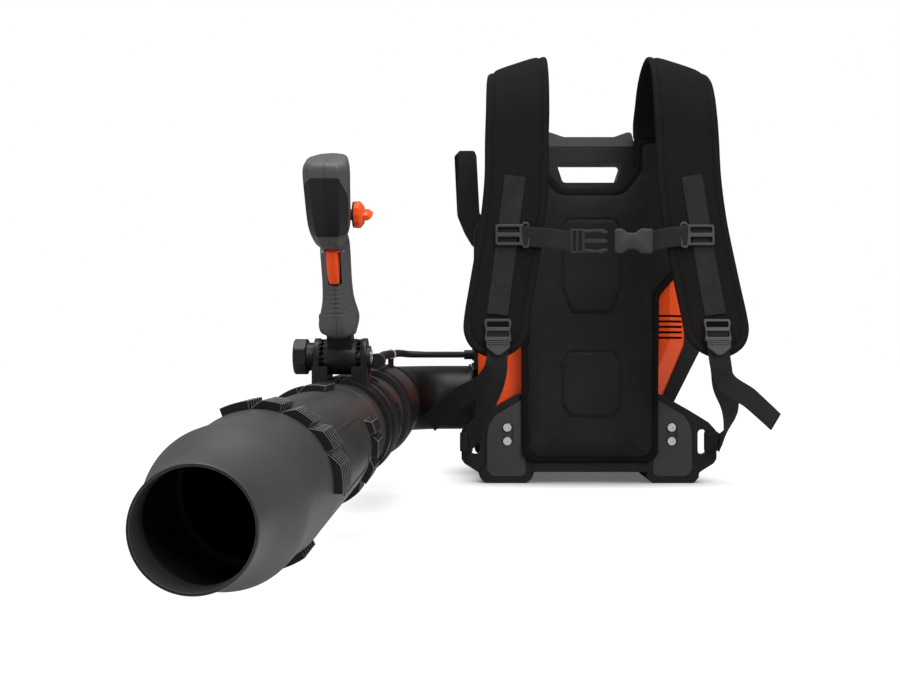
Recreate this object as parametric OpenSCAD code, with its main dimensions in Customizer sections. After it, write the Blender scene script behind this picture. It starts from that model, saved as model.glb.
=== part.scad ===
// Cordless backpack leaf blower: pack with harness, swivelling air tube and tilting control handle.
// The pack faces -Y (towards the wearer), the air tube runs forward along -Y, +Z is up.
// Every piece is drawn in the pack's frame: X from the pack's centre line, Y from the face that
// the back pad lies on, Z from the floor. place() then moves the origin to the footprint's centre.

/* [Pack] */
// Height of the carry handle's top at its middle
pack_h = 469; // [462:1:476]
// Half width of the back frame behind the shoulder straps
frame_shoulder_half_w = 124; // [121:1:127]
// Thickness of the moulded back frame
frame_t = 12; // [10:1:14]
// Half width of the back frame behind the leg covers
frame_half_w = 86; // [82:1:90]
// Depth of the carry handle, front to back
handle_depth = 36; // [32:1:40]
// Height of the hand opening in the carry handle
hand_h = 27; // [24:1:30]
// Half width of the hand opening at its top
hand_half_w = 45; // [42:1:48]
// Gap between back frame and front cover, for the intake air
intake_gap = 10; // [9:1:12]
// Height of the floor tray that carries the housing
tray_z = 30; // [28:1:32]
// Thickness of the floor tray
tray_t = 6; // [5:0.5:8]
// Half width of the base over both strap wings
base_half_w = 173; // [170:1:178]
// Rear end of the foot rails
rail_back = 236; // [230:1:244]
// Thickness of the raised leg covers
leg_cover_t = 5; // [4:0.5:6]
// Head diameter of the leg bolts
leg_bolt_d = 11; // [9:0.5:12]
// Vertical pitch of the leg bolts
leg_bolt_pitch = 18.6; // [17:0.2:20]
// Distance of the leg bolts from the centre line
leg_bolt_x = 111; // [109:0.5:113]

/* [Back pad] */
// Half width of the pad below the shoulders
pad_half_w = 92.5; // [90:0.5:95]
// Half width of the pad behind the shoulder straps
pad_shoulder_half_w = 134; // [131:1:137]
// Lower edge of the pad above the floor
pad_bottom = 24; // [22:0.5:26]
// Thickness of the pad's bound edge
pad_t = 10; // [8:0.5:12]
// Height of the raised centre panel over the edge
panel_rise = 6; // [4:0.5:7]
// Height of the two raised blocks over the panel
block_rise = 4; // [3:0.5:5]
// Width of the bound edge
pad_rim_w = 13; // [11:0.5:15]

/* [Housing] */
// Wall of the housing covers
cover_wall = 3; // [2:0.5:4]
// Depth of the orange front cover
front_cover_d = 36; // [34:1:40]
// Depth of the black rear cover
rear_cover_d = 107; // [100:1:114]
// Number of cooling louvres
louvre_count = 5; // [4:1:5]
// Pitch of the cooling louvres
louvre_pitch = 7.5; // [7:0.25:8]

/* [Fan] */
// Height of the fan's axis
fan_z = 235; // [233:1:237]
// Outer radius of the impeller
impeller_r = 88; // [84:1:89]
// Radius of the fan's inlet
inlet_r = 60; // [56:1:62]
// Number of impeller blades
blade_count = 11; // [7:1:13]
// Blade thickness
blade_t = 3; // [2:0.5:4]
// Shaft radius
shaft_r = 4; // [3:0.5:5]
// Depth of the scroll case
scroll_d = 92; // [91:0.5:93]
// Radius of the motor bell
bell_r = 35; // [32:1:37]
// Length of the motor bell
bell_l = 38; // [34:1:42]

/* [Battery] */
// Battery width
battery_w = 136; // [126:1:144]
// Battery depth
battery_d = 66; // [60:1:70]
// Battery height
battery_h = 168; // [160:1:176]
// Wall of the battery bay
bay_wall = 4; // [3:0.5:5]
// Height of the battery bay's wall
bay_h = 120; // [112:1:128]
// Stroke of the battery latch
latch_travel = 3; // [2:0.25:3.5]

/* [Air path] */
// Outer radius of the elbow pipe
pipe_r = 46; // [44:0.5:46]
// Wall of the elbow pipe
pipe_wall = 2.5; // [2:0.5:3]
// Distance of the tube's axis from the pack's centre line
tube_x = 279; // [275:1:285]
// Bend radius of the elbow
bend_r = 87; // [83:1:89]
// Length of the bellows hose
bellows_l = 109.5; // [106:0.5:113]
// Number of bellows folds
fold_count = 9; // [7:1:10]
// Length of the cuff
cuff_l = 151; // [145:1:157]
// Largest radius of the cuff
cuff_r = 54.2; // [53.2:0.2:55]
// Length of the gap between cuff and swivel collar
collar_gap = 99; // [95:1:103]
// Radius of the swivel collar
collar_r = 49.4; // [48.6:0.2:50.4]
// Length of the swivel collar
collar_l = 72; // [66:1:76]
// Outer radius of the blower tube
tube_r = 43; // [42.4:0.2:43.6]
// Wall of the blower tube
tube_wall = 2.4; // [2:0.2:2.8]
// Distance from the swivel collar's front edge to the nozzle's seam
barrel_l = 390; // [384:1:396]
// Length of the nozzle in front of its seam
nozzle_l = 124; // [120:1:128]
// Outer radius of the nozzle's shoulder
shoulder_r = 41.2; // [40.8:0.1:41.6]
// Outer radius of the nozzle's mouth
mouth_r = 28.5; // [27.5:0.5:29.5]
// Wall of the nozzle's mouth
mouth_wall = 1.3; // [1.2:0.1:1.6]
// Height of the lugs over the tube
lug_h = 5; // [4.4:0.2:5.6]
// Turn between the two groups of lugs round the tube
lug_turn = 172; // [168:1:180]
// Number of ribs on a front lug
rib_count = 5; // [4:1:5]

/* [Control handle] */
// Height of the tilt axis over the tube's axis
tilt_h = 67; // [66:0.5:69]
// Radius of the toothed barrel
hub_r = 16.5; // [16:0.25:17]
// Width of the toothed barrel with its teeth
hub_w = 33; // [31:0.5:34]
// Number of teeth round each face
tooth_count = 20; // [16:1:24]
// Height of the teeth
tooth_h = 2.4; // [2:0.1:2.6]
// Thickness of each ear with its teeth
ear_t = 7; // [6:0.5:8]
// Length of the clamp ring along the tube
ring_l = 46; // [42:1:50]
// Wall of the clamp ring
ring_wall = 3.6; // [3:0.2:4.2]
// Lean of the grip towards the nozzle, in degrees
grip_lean = 25; // [22:1:28]
// Height of the grip's top over the tilt axis
grip_h = 190; // [186:1:194]
// Wall of the grip shells
grip_wall = 2.6; // [2.2:0.2:3]
// Half width of the handle's head
head_half_w = 20.5; // [19.5:0.5:21.5]
// Radius of the clamp bolt
clamp_bolt_r = 4; // [3.5:0.25:4.5]
// Radius of the clamp knob
knob_r = 17.5; // [16.5:0.5:18.5]
// Thickness of the clamp knob
knob_t = 12; // [11:0.5:14]
// Length of the trigger
trigger_l = 39; // [37:0.5:40]
// Width of the trigger
trigger_w = 12.6; // [11.6:0.2:13]
// Radius of the speed dial
dial_r = 11.6; // [11:0.2:12.4]
// Radius of the trigger's pin
pin_r = 1.5; // [1.25:0.25:2]

/* [Harness] */
// Width of the shoulder straps
strap_w = 78; // [74:1:80]
// Thickness of the shoulder straps
strap_t = 12; // [10:0.5:13]
// Rise of the shoulder straps' top over the carry handle, at mid thickness
strap_rise = 73; // [69:1:77]
// Height of the shoulder straps' lower end over the floor
strap_low = 172; // [169:1:175]
// Width of the webbing
web_w = 25; // [25:1:26]
// Thickness of the webbing
web_t = 1.4; // [1.2:0.1:1.6]
// Thickness of the harness buckles
buckle_t = 4.5; // [4:0.25:5]
// Diameter of the corrugated conduit
conduit_d = 9.8; // [9.4:0.1:10.2]

/* [Fits] */
// Radial running clearance of shafts, pins and swivels
run_gap = 0.06; // [0.04:0.01:0.08]
// Clearance beside a piece that slides or drops in
side_gap = 0.3; // [0.3:0.05:0.4]

/* [Hidden] */
$fn = 64;

// Places along Y that follow from the depths
cover_y = frame_t + intake_gap;
seam_y = cover_y + front_cover_d;
rear_y = seam_y + rear_cover_d;
scroll_y = seam_y + cover_wall + 1.5;
scroll_back = scroll_y + scroll_d;
duct_y = scroll_y + scroll_d / 2;
duct_z = 110;
pad_y = -pad_t;
foot_y = leg_cover_t;

// Outlines of the two housing covers, seen from the front, as X and Z
housing_left = 156;
front_outline = [
    [84, tray_z + 32], [138, 187], [138, 330], [108, 372],
    [-125, 372], [6 - housing_left, 345], [6 - housing_left, tray_z + 32]
];
rear_outline = [
    [88, tray_z], [167, 187], [167, 335], [130, 380],
    [-130, 380], [-housing_left, 350], [-housing_left, tray_z]
];
outline_round = [30, 40, 34, 30, 30, 24, 14];

// Outline of one foot with its strap wing, right side
foot_outline = [
    [74, tray_z], [74, 15], [77, 7], [85, 0], [141, 0], [148, 8], [150, 14],
    [base_half_w - 4, 26], [base_half_w, 32], [base_half_w, 70],
    [base_half_w - 11, 82], [136, 98], [97, 120], [74, 120]
];
wing_bar = 13;
slot_w = 12.5;
slot_x = base_half_w - wing_bar - slot_w;
slot_z = [38, 72];
wing_t = 14;
leg_cover_outline = [
    [76, 26], [82, 15.6], [92, 9.6], [131.6, 9.6], [138.4, 18.3], [138.4, 62], [135.7, 79], [127.6, 91.4],
    [94, 111], [76, 116]
];
leg_bolt_z = 66;

// Scroll of the fan: it opens clockwise from the tongue to the outlet
tongue_angle = 215;
tongue_r = impeller_r + 9;
scroll_end_r = fan_z - duct_z + pipe_r + 5;
outlet_top = duct_z + pipe_r + 5;

// Places along the tube's axis, measured forward from the duct's axis plane, as distances along -Y
elbow_end = bend_r - duct_y;
cuff_back = elbow_end + bellows_l;
cuff_front = cuff_back + cuff_l;
collar_back = cuff_front + collar_gap;
collar_front = collar_back + collar_l;
seam_s = collar_front + barrel_l;
mouth_s = seam_s + nozzle_l;
spigot_r = pipe_r - 2;
sleeve_l = 16;
sleeve_t = 2.2;
hose_clamp_t = 1.2;
clamp_w = 9;

// Front and rear lug rings along the tube
front_lug_front = seam_s - 5;
front_lug_l = 43;
rear_lug_front = front_lug_front - 203;
rear_lug_l = 55;

// Control handle
tilt_s = collar_front + 20;
ring_back = collar_front + side_gap + 0.2;
ring_front = ring_back + ring_l;
ear_in = hub_w / 2 + 0.3 - tooth_h;
ear_gap = hub_w / 2 + 0.3;
ear_r = hub_r + 0.5;
// Reach of the ears' feet towards the middle, and their top under the tilt axis
foot_in = 6;
foot_top = 8.5;
knob_in = ear_gap + ear_t + 7;
trigger_top = 104;
trigger_pivot = [-14, 108];
dial_h = 138;
dial_y = -6;
seal_t = 1.6;
dial_t = 8;

// Battery
battery_y = rear_y + bay_wall + side_gap;
battery_floor = 150;
bay_back = battery_y + battery_d + side_gap;

// Harness: stations of the right strap's centre line, from the lower end over the top to the pad
strap_rear_z = pack_h + 1;
strap_top = pack_h + strap_rise;
// Height on the front run, from its share of the way up
function run_z(share) = strap_low + (strap_top - 72 - strap_low) * share;
strap_stations = [
    // [place, width, roll]
    [[131, -178, strap_low], 34, 0],
    [[131, -176, strap_low + 8], 60, 0],
    [[131, -172, strap_low + 20], 72, 0],
    [[130, -166, strap_low + 39], strap_w, 0],
    [[124, -157, run_z(78 / 298)], strap_w, 0],
    [[118, -151, run_z(113 / 298)], strap_w, 0],
    [[110, -144, run_z(163 / 298)], strap_w, 2],
    [[105, -138, run_z(214 / 298)], strap_w, 4],
    [[104, -130, run_z(268 / 298)], strap_w, 8],
    [[103, -126, strap_top - 72], strap_w, 12],
    [[102.5, -117, strap_top - 43], strap_w, 15],
    [[102, -103, strap_top - 20], strap_w, 17],
    [[101.5, -85, strap_top - 6], strap_w, 18],
    [[101, -65, strap_top], strap_w, 18],
    [[100, -44, strap_top - 5], strap_w, 17],
    [[99, -26, strap_top - 19], strap_w, 14],
    [[98, -12, strap_top - 42], strap_w, 7],
    [[97, -pad_t / 2, strap_rear_z + 16], strap_w, 0],
    [[97, -pad_t / 2, strap_rear_z + 0.3], strap_w, 0]
];
// Mid line of the sewn webbing on the right strap's face, X and Z
web_top = [106.5, 391];
web_bottom_z = 225;
chest_x = 111;
chest_z = 318;
lock_x = 129.5;
lock_z = 205;

// Route of the corrugated conduit, from the housing to the bracket's ear
conduit_z = 172.5;
conduit_points = [
    [-housing_left - 6, duct_y - 20, conduit_z],
    [-175, duct_y - 20, conduit_z],
    [-200, duct_y - 20.5, conduit_z],
    [-222, duct_y - 23, conduit_z],
    [-238, duct_y - 30, conduit_z + 0.5],
    [-249, duct_y - 42, conduit_z + 1],
    [-255, duct_y - 58, conduit_z + 2],
    [-257.5, duct_y - 80, conduit_z + 2.5],
    [-258, -30, conduit_z + 3],
    [-258, -60, conduit_z + 3],
    [-258, -100, conduit_z + 3],
    [-258, -140, conduit_z + 3],
    [-258, -180, conduit_z + 3],
    [-258, -220, conduit_z + 3],
    [-257, -260, conduit_z + 2],
    [-254, -300, conduit_z + 1],
    [-251, -335, conduit_z + 0.5],
    [-249, -370, conduit_z],
    [-248.5, -396, conduit_z]
];

conduit_end = conduit_points[len(conduit_points) - 1];

// Footprint's centre, from the outermost pieces
left_reach = tube_x + cuff_r;
tail_tip = [[-214, -40, 84.5], [229, -75, 88.6]];
right_reach = 237;
origin = [(right_reach - left_reach) / 2, (bay_back + bay_wall + 5.5 - mouth_s) / 2, 0];

// ---- Colours ----
black_plastic = [0.12, 0.12, 0.12];
grey_plastic = [0.25, 0.25, 0.25];
orange_plastic = [0.88, 0.22, 0.06];
strap_fabric = [0.11, 0.1, 0.09];
web_fabric = [0.09, 0.09, 0.09];
steel = [0.75, 0.75, 0.76];
copper = [0.72, 0.42, 0.2];

// ---- Functions ----
function unit(v) = v / norm(v);

// Points of the arc that rounds corner b between a and c
function corner_arc(a, b, c, r, n) =
    let (u = unit(a - b), v = unit(c - b))
    let (half = acos(max(-0.9999, min(0.9999, u * v))) / 2)
    let (reach = min(r / tan(half), 0.48 * min(norm(a - b), norm(c - b))))
    let (rr = reach * tan(half), centre = b + unit(u + v) * (rr / sin(half)))
    let (p = b + u * reach - centre, q = b + v * reach - centre)
    let (from = atan2(p[1], p[0]), raw = atan2(q[1], q[0]) - from)
    let (turn = raw > 180 ? raw - 360 : raw < -180 ? raw + 360 : raw)
    [for (i = [0:n]) centre + rr * [cos(from + turn * i / n), sin(from + turn * i / n)]];

// Outline with its corners rounded; r is one radius or one for each corner
function rounded(pts, r, n = 4) =
    let (k = len(pts))
    [for (i = [0:k - 1])
        let (ri = is_list(r) ? r[i] : r)
        each (ri == 0 ? [pts[i]] : corner_arc(pts[(i + k - 1) % k], pts[i], pts[(i + 1) % k], ri, n))];

// Outline moved inwards by d; it runs anticlockwise
function inset(pts, d) =
    let (k = len(pts))
    [for (i = [0:k - 1])
        let (u = unit(pts[i] - pts[(i + k - 1) % k]), v = unit(pts[(i + 1) % k] - pts[i]))
        let (nu = [-u[1], u[0]], nv = [-v[1], v[0]], m = unit(nu + nv))
        pts[i] + m * d / (m * nu)];

function rect(w, h, x = 0, y = 0) = [[x + w / 2, y - h / 2], [x + w / 2, y + h / 2], [x - w / 2, y + h / 2], [x - w / 2, y - h / 2]];
function mirrored_x(pts) = [for (i = [len(pts) - 1:-1:0]) [-pts[i][0], pts[i][1]]];
function at_y(pts, y) = [for (p = pts) [p[0], y, p[1]]];
function circle_points(r, n, start = 0) = [for (i = [0:n - 1]) r * [cos(start + 360 * i / n), sin(start + 360 * i / n)]];
function scroll_r(a) = tongue_r + (scroll_end_r - tongue_r) * (tongue_angle - a) / (tongue_angle + 90);

// Directions for a sweep: one [side, face] pair for each point of a path
function tangent(path, i) = unit(path[min(i + 1, len(path) - 1)] - path[max(i - 1, 0)]);

// Points of a closed cross-section swept along a path, the section's first axis along side
function swept(path, sides, sections) =
    [for (i = [0:len(path) - 1])
        let (t = tangent(path, i), w = unit(sides[i] - (sides[i] * t) * t), n = cross(t, w))
        [for (p = sections[i]) path[i] + p[0] * w + p[1] * n]];

// Rounded band section: flat faces and round edges
function band(w, t) = let (c = min(t, w) / 2)
    [[w / 2, 0], [w / 2 - c * 0.4, t / 2], [c * 0.4 - w / 2, t / 2], [-w / 2, 0], [c * 0.4 - w / 2, -t / 2], [w / 2 - c * 0.4, -t / 2]];

// ---- Shape tools ----
module place() translate(-origin) children();
// Extrudes an outline seen from the front (X and Z) between two depths
module front_view(y0, y1) translate([0, y1, 0]) rotate([90, 0, 0]) linear_extrude(y1 - y0) children();
// Extrudes an outline seen from the wearer's left (Y and Z) between two widths
module side_view(x0, x1) translate([x0, 0, 0]) rotate([90, 0, 90]) linear_extrude(x1 - x0) children();
module both_sides() {
    children();
    mirror([1, 0, 0]) children();
}

// Closed skin over rings of equal length, each anticlockwise about the way the rings advance
module loft(rings) {
    n = len(rings[0]);
    m = len(rings);
    sides = [for (i = [0:m - 2], j = [0:n - 1])
        let (a = i * n + j, b = i * n + (j + 1) % n)
        each [[a, a + n, b + n], [a, b + n, b]]];
    caps = [[for (j = [0:n - 1]) j], [for (j = [n - 1:-1:0]) (m - 1) * n + j]];
    polyhedron([for (r = rings) each r], concat(sides, caps), convexity = 6);
}

// Housing shell: outline, then pairs of depth and inset from the seam to the outer face
module housing_skin(outline, steps) {
    loft([for (s = steps) at_y(rounded(inset(outline, s[1]), [for (r = outline_round) max(4, r - s[1])], 3), s[0])]);
}

// Tube axis frame: local Z runs forward along the tube, local Y is up
module on_tube() translate([-tube_x, 0, duct_z]) rotate([90, 0, 0]) children();
module ring(r_out, r_in, s0, s1) translate([0, 0, s0]) difference() {
    cylinder(r = r_out, h = s1 - s0);
    translate([0, 0, -1]) cylinder(r = r_in, h = s1 - s0 + 2);
}
// Cylinder along X between two places
module along_x(r, x0, x1) translate([x0, 0, 0]) rotate([0, 90, 0]) cylinder(r = r, h = x1 - x0);
// Cylinder along Y between two places
module along_y(r, y0, y1) translate([0, y1, 0]) rotate([90, 0, 0]) cylinder(r = r, h = y1 - y0);
// Handle frame: origin on the tilt axis, local Z up the grip, local -Y to the front
module on_handle() translate([-tube_x, -tilt_s, duct_z + tilt_h]) rotate([grip_lean, 0, 0]) children();
module on_tilt() translate([-tube_x, -tilt_s, duct_z + tilt_h]) children();

// ---- Pack ----
module back_frame() color(black_plastic) {
    hand_top = pack_h - 36;
    hand_bottom = hand_top - hand_h;
    shoulder_z = strap_rear_z - 30;
    difference() {
        front_view(0, frame_t) polygon(rounded([
            [frame_half_w, tray_z], [frame_half_w, 244], [frame_shoulder_half_w, 286], [frame_shoulder_half_w, shoulder_z],
            [62, shoulder_z], [-62, shoulder_z], [-frame_shoulder_half_w, shoulder_z],
            [-frame_shoulder_half_w, 286], [-frame_half_w, 244], [-frame_half_w, tray_z]
        ], [6, 16, 16, 20, 0, 0, 20, 16, 16, 6]));
        front_view(-1, frame_t + 1) polygon(hand_opening(hand_bottom, hand_top));
    }
    // Carry handle: a deep bar over the hand opening
    intersection() {
        front_view(0, handle_depth) difference() {
            polygon(rounded([
                [56, hand_bottom - 10], [64, shoulder_z], [58, pack_h + 7], [52, pack_h + 7], [34, pack_h],
                [-34, pack_h], [-52, pack_h + 7], [-58, pack_h + 7], [-64, shoulder_z], [-56, hand_bottom - 10]
            ], [6, 10, 4, 4, 10, 10, 4, 4, 10, 6]));
            polygon(hand_opening(hand_bottom, hand_top));
        }
        side_view(-70, 70) polygon([
            [0, 380], [handle_depth, 380], [handle_depth, pack_h - 8], [handle_depth - 9, pack_h + 9],
            [11, pack_h + 9], [0, pack_h - 14]
        ]);
    }
    // Posts that carry the housing, and stiffening ribs between them
    for (x = [-70, 70], z = [tray_z + 100, 330]) translate([x, 0, z]) along_y(9, frame_t - 1, cover_y);
    for (x = [-70, 70]) translate([x - 1.5, frame_t - 1, tray_z + 60]) cube([3, 6, 270]);
    for (z = [tray_z + 100, 330]) translate([-70, frame_t - 1, z - 1.5]) cube([140, 6, 3]);
}
function hand_opening(z0, z1) = rounded([
    [hand_half_w - 9, z0], [hand_half_w, z1], [-hand_half_w, z1], [9 - hand_half_w, z0]
], [5, 4, 4, 5]);

module base_frame() color(black_plastic) {
    both_sides() difference() {
        union() {
            front_view(leg_cover_t, leg_cover_t + wing_t) polygon(rounded(foot_outline,
                [0, 4, 3, 5, 5, 3, 4, 4, 5, 5, 10, 8, 8, 0]));
            front_view(0, rail_back) polygon(rounded([
                [85, 0], [141, 0], [148, 8], [148, 12], [138, tray_z], [88, tray_z], [77, 12], [77, 7]
            ], [5, 5, 3, 3, 5, 5, 3, 3]));
        }
        front_view(-1, leg_cover_t) polygon(rounded(leg_cover_outline, 0));
        translate([0, leg_cover_t - 1, 0]) front_view(0, wing_t + 3) polygon(rounded(
            [[slot_x + slot_w, slot_z[0]], [slot_x + slot_w, slot_z[1]], [slot_x, slot_z[1]], [slot_x, slot_z[0]]], 5));
        translate([0, frame_t + 0.01, 0]) front_view(-frame_t - 2, 0) polygon(rect(2 * frame_half_w, 300, 0, tray_z + 150));
        for (z = leg_bolt_levels()) translate([leg_bolt_x, 0, z]) along_y(3 + run_gap, 0, 40);
    }
    // Front skirt, floor tray and rear bar
    front_view(0, frame_t + 8) polygon([[86, 15], [86, tray_z], [-86, tray_z], [-86, 15]]);
    front_view(frame_t, rail_back) polygon(rect(200, tray_t, 0, tray_z - tray_t / 2));
    front_view(rail_back - 18, rail_back) polygon([[86, 8], [86, tray_z], [-86, tray_z], [-86, 8]]);
}
function leg_bolt_levels() = [leg_bolt_z - leg_bolt_pitch / 2, leg_bolt_z + leg_bolt_pitch / 2];

module leg_covers() color(grey_plastic) both_sides() difference() {
    front_view(0, leg_cover_t) difference() {
        polygon(rounded(leg_cover_outline, [3, 4, 8, 8, 6, 10, 6, 10, 6, 3]));
        translate([0, 0]) polygon(rect(2 * (frame_half_w + side_gap), 300, 0, 0));
    }
    translate([leg_bolt_x, 0, leg_bolt_z]) front_view(-1, 2.5) polygon(rounded(rect(15.5, leg_bolt_pitch + 13), 7));
    for (z = leg_bolt_levels()) translate([leg_bolt_x, 0, z]) along_y(3 + run_gap, 0, 40);
}

module leg_bolts() color(steel) both_sides() for (z = leg_bolt_levels()) translate([leg_bolt_x, 0, z]) {
    difference() {
        along_y(leg_bolt_d / 2, -1.5, 2.5);
        translate([0, 0.5, 0]) rotate([90, 0, 0]) cylinder(r = 2.6, h = 4, $fn = 6);
    }
    along_y(3, 2, 22);
}

pad_outline_right = [
    [pad_half_w, pad_bottom], [pad_half_w, 252], [pad_shoulder_half_w, 296], [pad_shoulder_half_w, strap_rear_z],
    [57, strap_rear_z], [57, pack_h - 45], [38, pack_h - 69]
];
pad_rounds_right = [24, 18, 20, 3, 3, 14, 16];
function pad_outline() = concat(pad_outline_right, mirrored_x(pad_outline_right));
function pad_rounds() = concat(pad_rounds_right, [for (i = [6:-1:0]) pad_rounds_right[i]]);

module back_pad() color(strap_fabric) {
    panel = inset(pad_outline(), pad_rim_w);
        front_view(pad_y, 0) polygon(rounded(pad_outline(), pad_rounds()));
    // Raised centre panel with a sloping edge
    panel_pts = concat([panel[0], panel[1], [92, 292], [92, pack_h - 83]], [[-92, pack_h - 83], [-92, 292], panel[12], panel[13]]);
    loft([
        at_y(rounded(panel_pts, [20, 20, 20, 30, 30, 20, 20, 20]), pad_y + 1),
        at_y(rounded(panel_pts, [20, 20, 20, 30, 30, 20, 20, 20]), pad_y),
        at_y(rounded(inset(panel_pts, 2), [18, 18, 18, 28, 28, 18, 18, 18]), pad_y - panel_rise + 1.5),
        at_y(rounded(inset(panel_pts, 5), [15, 15, 15, 25, 25, 15, 15, 15]), pad_y - panel_rise)
    ]);
    pad_block([[26, 230], [39, 262], [39, 340], [32, 354], [-32, 354], [-39, 340], [-39, 262], [-26, 230]]);
    pad_block([[28, 91], [39, 106], [39, 160], [30, 177], [-30, 177], [-39, 160], [-39, 106], [-28, 91]]);
}
module pad_block(pts) {
    face = pad_y - panel_rise;
    loft([
        at_y(rounded(pts, 7), face + 1), at_y(rounded(pts, 7), face - block_rise + 1.5),
        at_y(rounded(inset(pts, 2.5), 6), face - block_rise)
    ]);
}

module front_cover() color(orange_plastic) {
    difference() {
        housing_skin(front_outline, [[seam_y, 0], [cover_y + 26, 0], [cover_y + 21, 2.5], [cover_y, 25]]);
        housing_skin(front_outline, [
            [seam_y + 1, cover_wall], [cover_y + 27, cover_wall],
            [cover_y + 21 + cover_wall / 2, 2.5 + cover_wall], [cover_y + cover_wall, 25 + cover_wall]
        ]);
        translate([0, 0, fan_z]) along_y(inlet_r + 4, cover_y - 1, cover_y + cover_wall + 1);
        for (i = [0:louvre_count - 1])
            translate([pad_half_w - 2, cover_y - 1, fan_z - 40 + i * louvre_pitch]) cube([60, 26, 3]);
    }
    // Drip ledges over the louvres
    intersection() {
        for (i = [0:louvre_count - 1]) translate([pad_half_w - 2, cover_y + 4, fan_z - 37 + i * louvre_pitch])
            cube([60, 24, 1.6]);
        housing_skin(front_outline, [[seam_y, 0], [cover_y + 26, 0], [cover_y + 21, 2.5], [cover_y, 25]]);
    }
}
module outlet_cut() translate([0, duct_y, duct_z]) side_view(-housing_left - 20, -housing_left + 30)
    polygon(rounded([
        [seam_y - duct_y - 5, -40], [-12, -outlet_half], [outlet_half, -outlet_half], [outlet_half, outlet_half],
        [-12, outlet_half], [seam_y - duct_y - 5, 40]
    ], [0, 10, 34, 34, 10, 0]));
outlet_half = pipe_r + 3.8;

module rear_cover() color(black_plastic) difference() {
    housing_skin(rear_outline, [[rear_y, 12], [rear_y - 4, 4], [rear_y - 10, 0], [seam_y, 0]]);
    housing_skin(rear_outline, [
        [rear_y - cover_wall, 12 + cover_wall / 2], [rear_y - 4 - cover_wall / 2, 4 + cover_wall],
        [rear_y - 11, cover_wall], [seam_y + cover_wall, cover_wall]
    ]);
    // Mouth that the front cover closes
    front_view(seam_y - 1, seam_y + cover_wall + 1) polygon(rounded(inset(front_outline, cover_wall + 0.5), 20));
    outlet_cut();
    translate([0, conduit_points[0][1], conduit_z]) along_x(8.5 + run_gap, -housing_left - 5, -housing_left + 5);
    for (p = cover_screw_places()) translate([p[0], 0, p[1]]) along_y(2.5 + run_gap, rear_y - 20, rear_y + 1);
}
function cover_screw_places() = [[-118, 70], [84, 70], [118, 320], [-118, 340]];

module intake_grille() color(black_plastic) translate([0, 0, fan_z]) {
    y0 = cover_y - 4;
    for (r = [12:12:inlet_r]) front_ring(r + 1.2, r - 1.2, y0 + 0.5, y0 + 3);
    front_ring(inlet_r + 9, inlet_r - 1, y0, y0 + 4);
    front_ring(inlet_r + 3.7, inlet_r - 1, y0 + 3, y0 + 7);
    along_y(9, y0, y0 + 4);
    for (a = [0:45:359]) rotate([0, a, 0]) translate([5, y0, -1.5]) cube([inlet_r - 4, 3.5, 3]);
}
module front_ring(r_out, r_in, y0, y1) difference() {
    along_y(r_out, y0, y1);
    along_y(r_in, y0 - 1, y1 + 1);
}

function scroll_curve(grow) = [for (a = [tongue_angle:-7.5:-90]) (scroll_r(a) + grow) * [cos(a), sin(a)] + [0, fan_z]];
function scroll_outline(grow) = concat(scroll_curve(grow), [
    [-housing_left + 22, duct_z - pipe_r - 5 - grow], [-housing_left + 22, outlet_top + grow]
]);

module scroll_case() color(black_plastic) {
    wall = 3;
    difference() {
        front_view(scroll_y, scroll_back) polygon(scroll_outline(0));
        front_view(scroll_y + wall, scroll_back - wall) polygon(concat(scroll_curve(-wall), [
            [-housing_left + 20, duct_z - pipe_r - 5 + wall], [-housing_left + 20, outlet_top - wall]
        ]));
        translate([0, 0, fan_z]) along_y(inlet_r, scroll_y - 1, scroll_y + wall + 1);
        translate([0, duct_y, duct_z]) along_x(pipe_r - pipe_wall, -housing_left + 10, -housing_left + 30);
    }
}

module outlet_flange() color(black_plastic) translate([0, duct_y, duct_z]) difference() {
    union() {
        translate([-housing_left - 3, 0, 0]) rotate([90, 0, 90]) linear_extrude(3) polygon(rounded(rect(100, 100), 14));
        along_x(pipe_r + 3.5, -housing_left - 1, -housing_left + 21.7);
    }
    along_x(pipe_r - 1 + run_gap, -housing_left - 5, -housing_left + 30);
}

// ---- Fan and motor ----
motor_back = scroll_back - 3;
bell_y = motor_back - 8 - bell_l;
module motor_mount() color([0.6, 0.6, 0.62]) translate([0, 0, fan_z]) {
    difference() {
        union() {
            along_y(30, motor_back - 4, motor_back);
            along_y(13, motor_back - 40, motor_back);
        }
        along_y(11, motor_back - 41, motor_back - 30);
        along_y(11, motor_back - 10, motor_back + 1);
        along_y(shaft_r + 2, motor_back - 50, motor_back + 1);
    }
}
module motor_bearings() color(steel) translate([0, 0, fan_z]) for (y = [motor_back - 40, motor_back - 10])
    difference() {
        along_y(11, y, y + 9);
        along_y(shaft_r + run_gap, y - 1, y + 10);
    }
module motor_stator() color(copper) translate([0, 0, fan_z]) difference() {
    union() {
        along_y(20, motor_back - 37, motor_back - 12);
        for (a = [0:30:359]) rotate([0, a, 0]) translate([15, motor_back - 37, -3.5]) cube([bell_r - 20, 24, 7]);
    }
    along_y(13, motor_back - 60, motor_back);
}
module motor_bell() color([0.3, 0.3, 0.32]) translate([0, 0, fan_z]) difference() {
    along_y(bell_r, bell_y, bell_y + bell_l);
    along_y(bell_r - 3, bell_y + 4, bell_y + bell_l + 1);
    along_y(shaft_r, bell_y - 1, bell_y + 5);
}
module rotor_shaft() color(steel) translate([0, 0, fan_z]) along_y(shaft_r, bell_y - 20, motor_back - 1);
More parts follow.
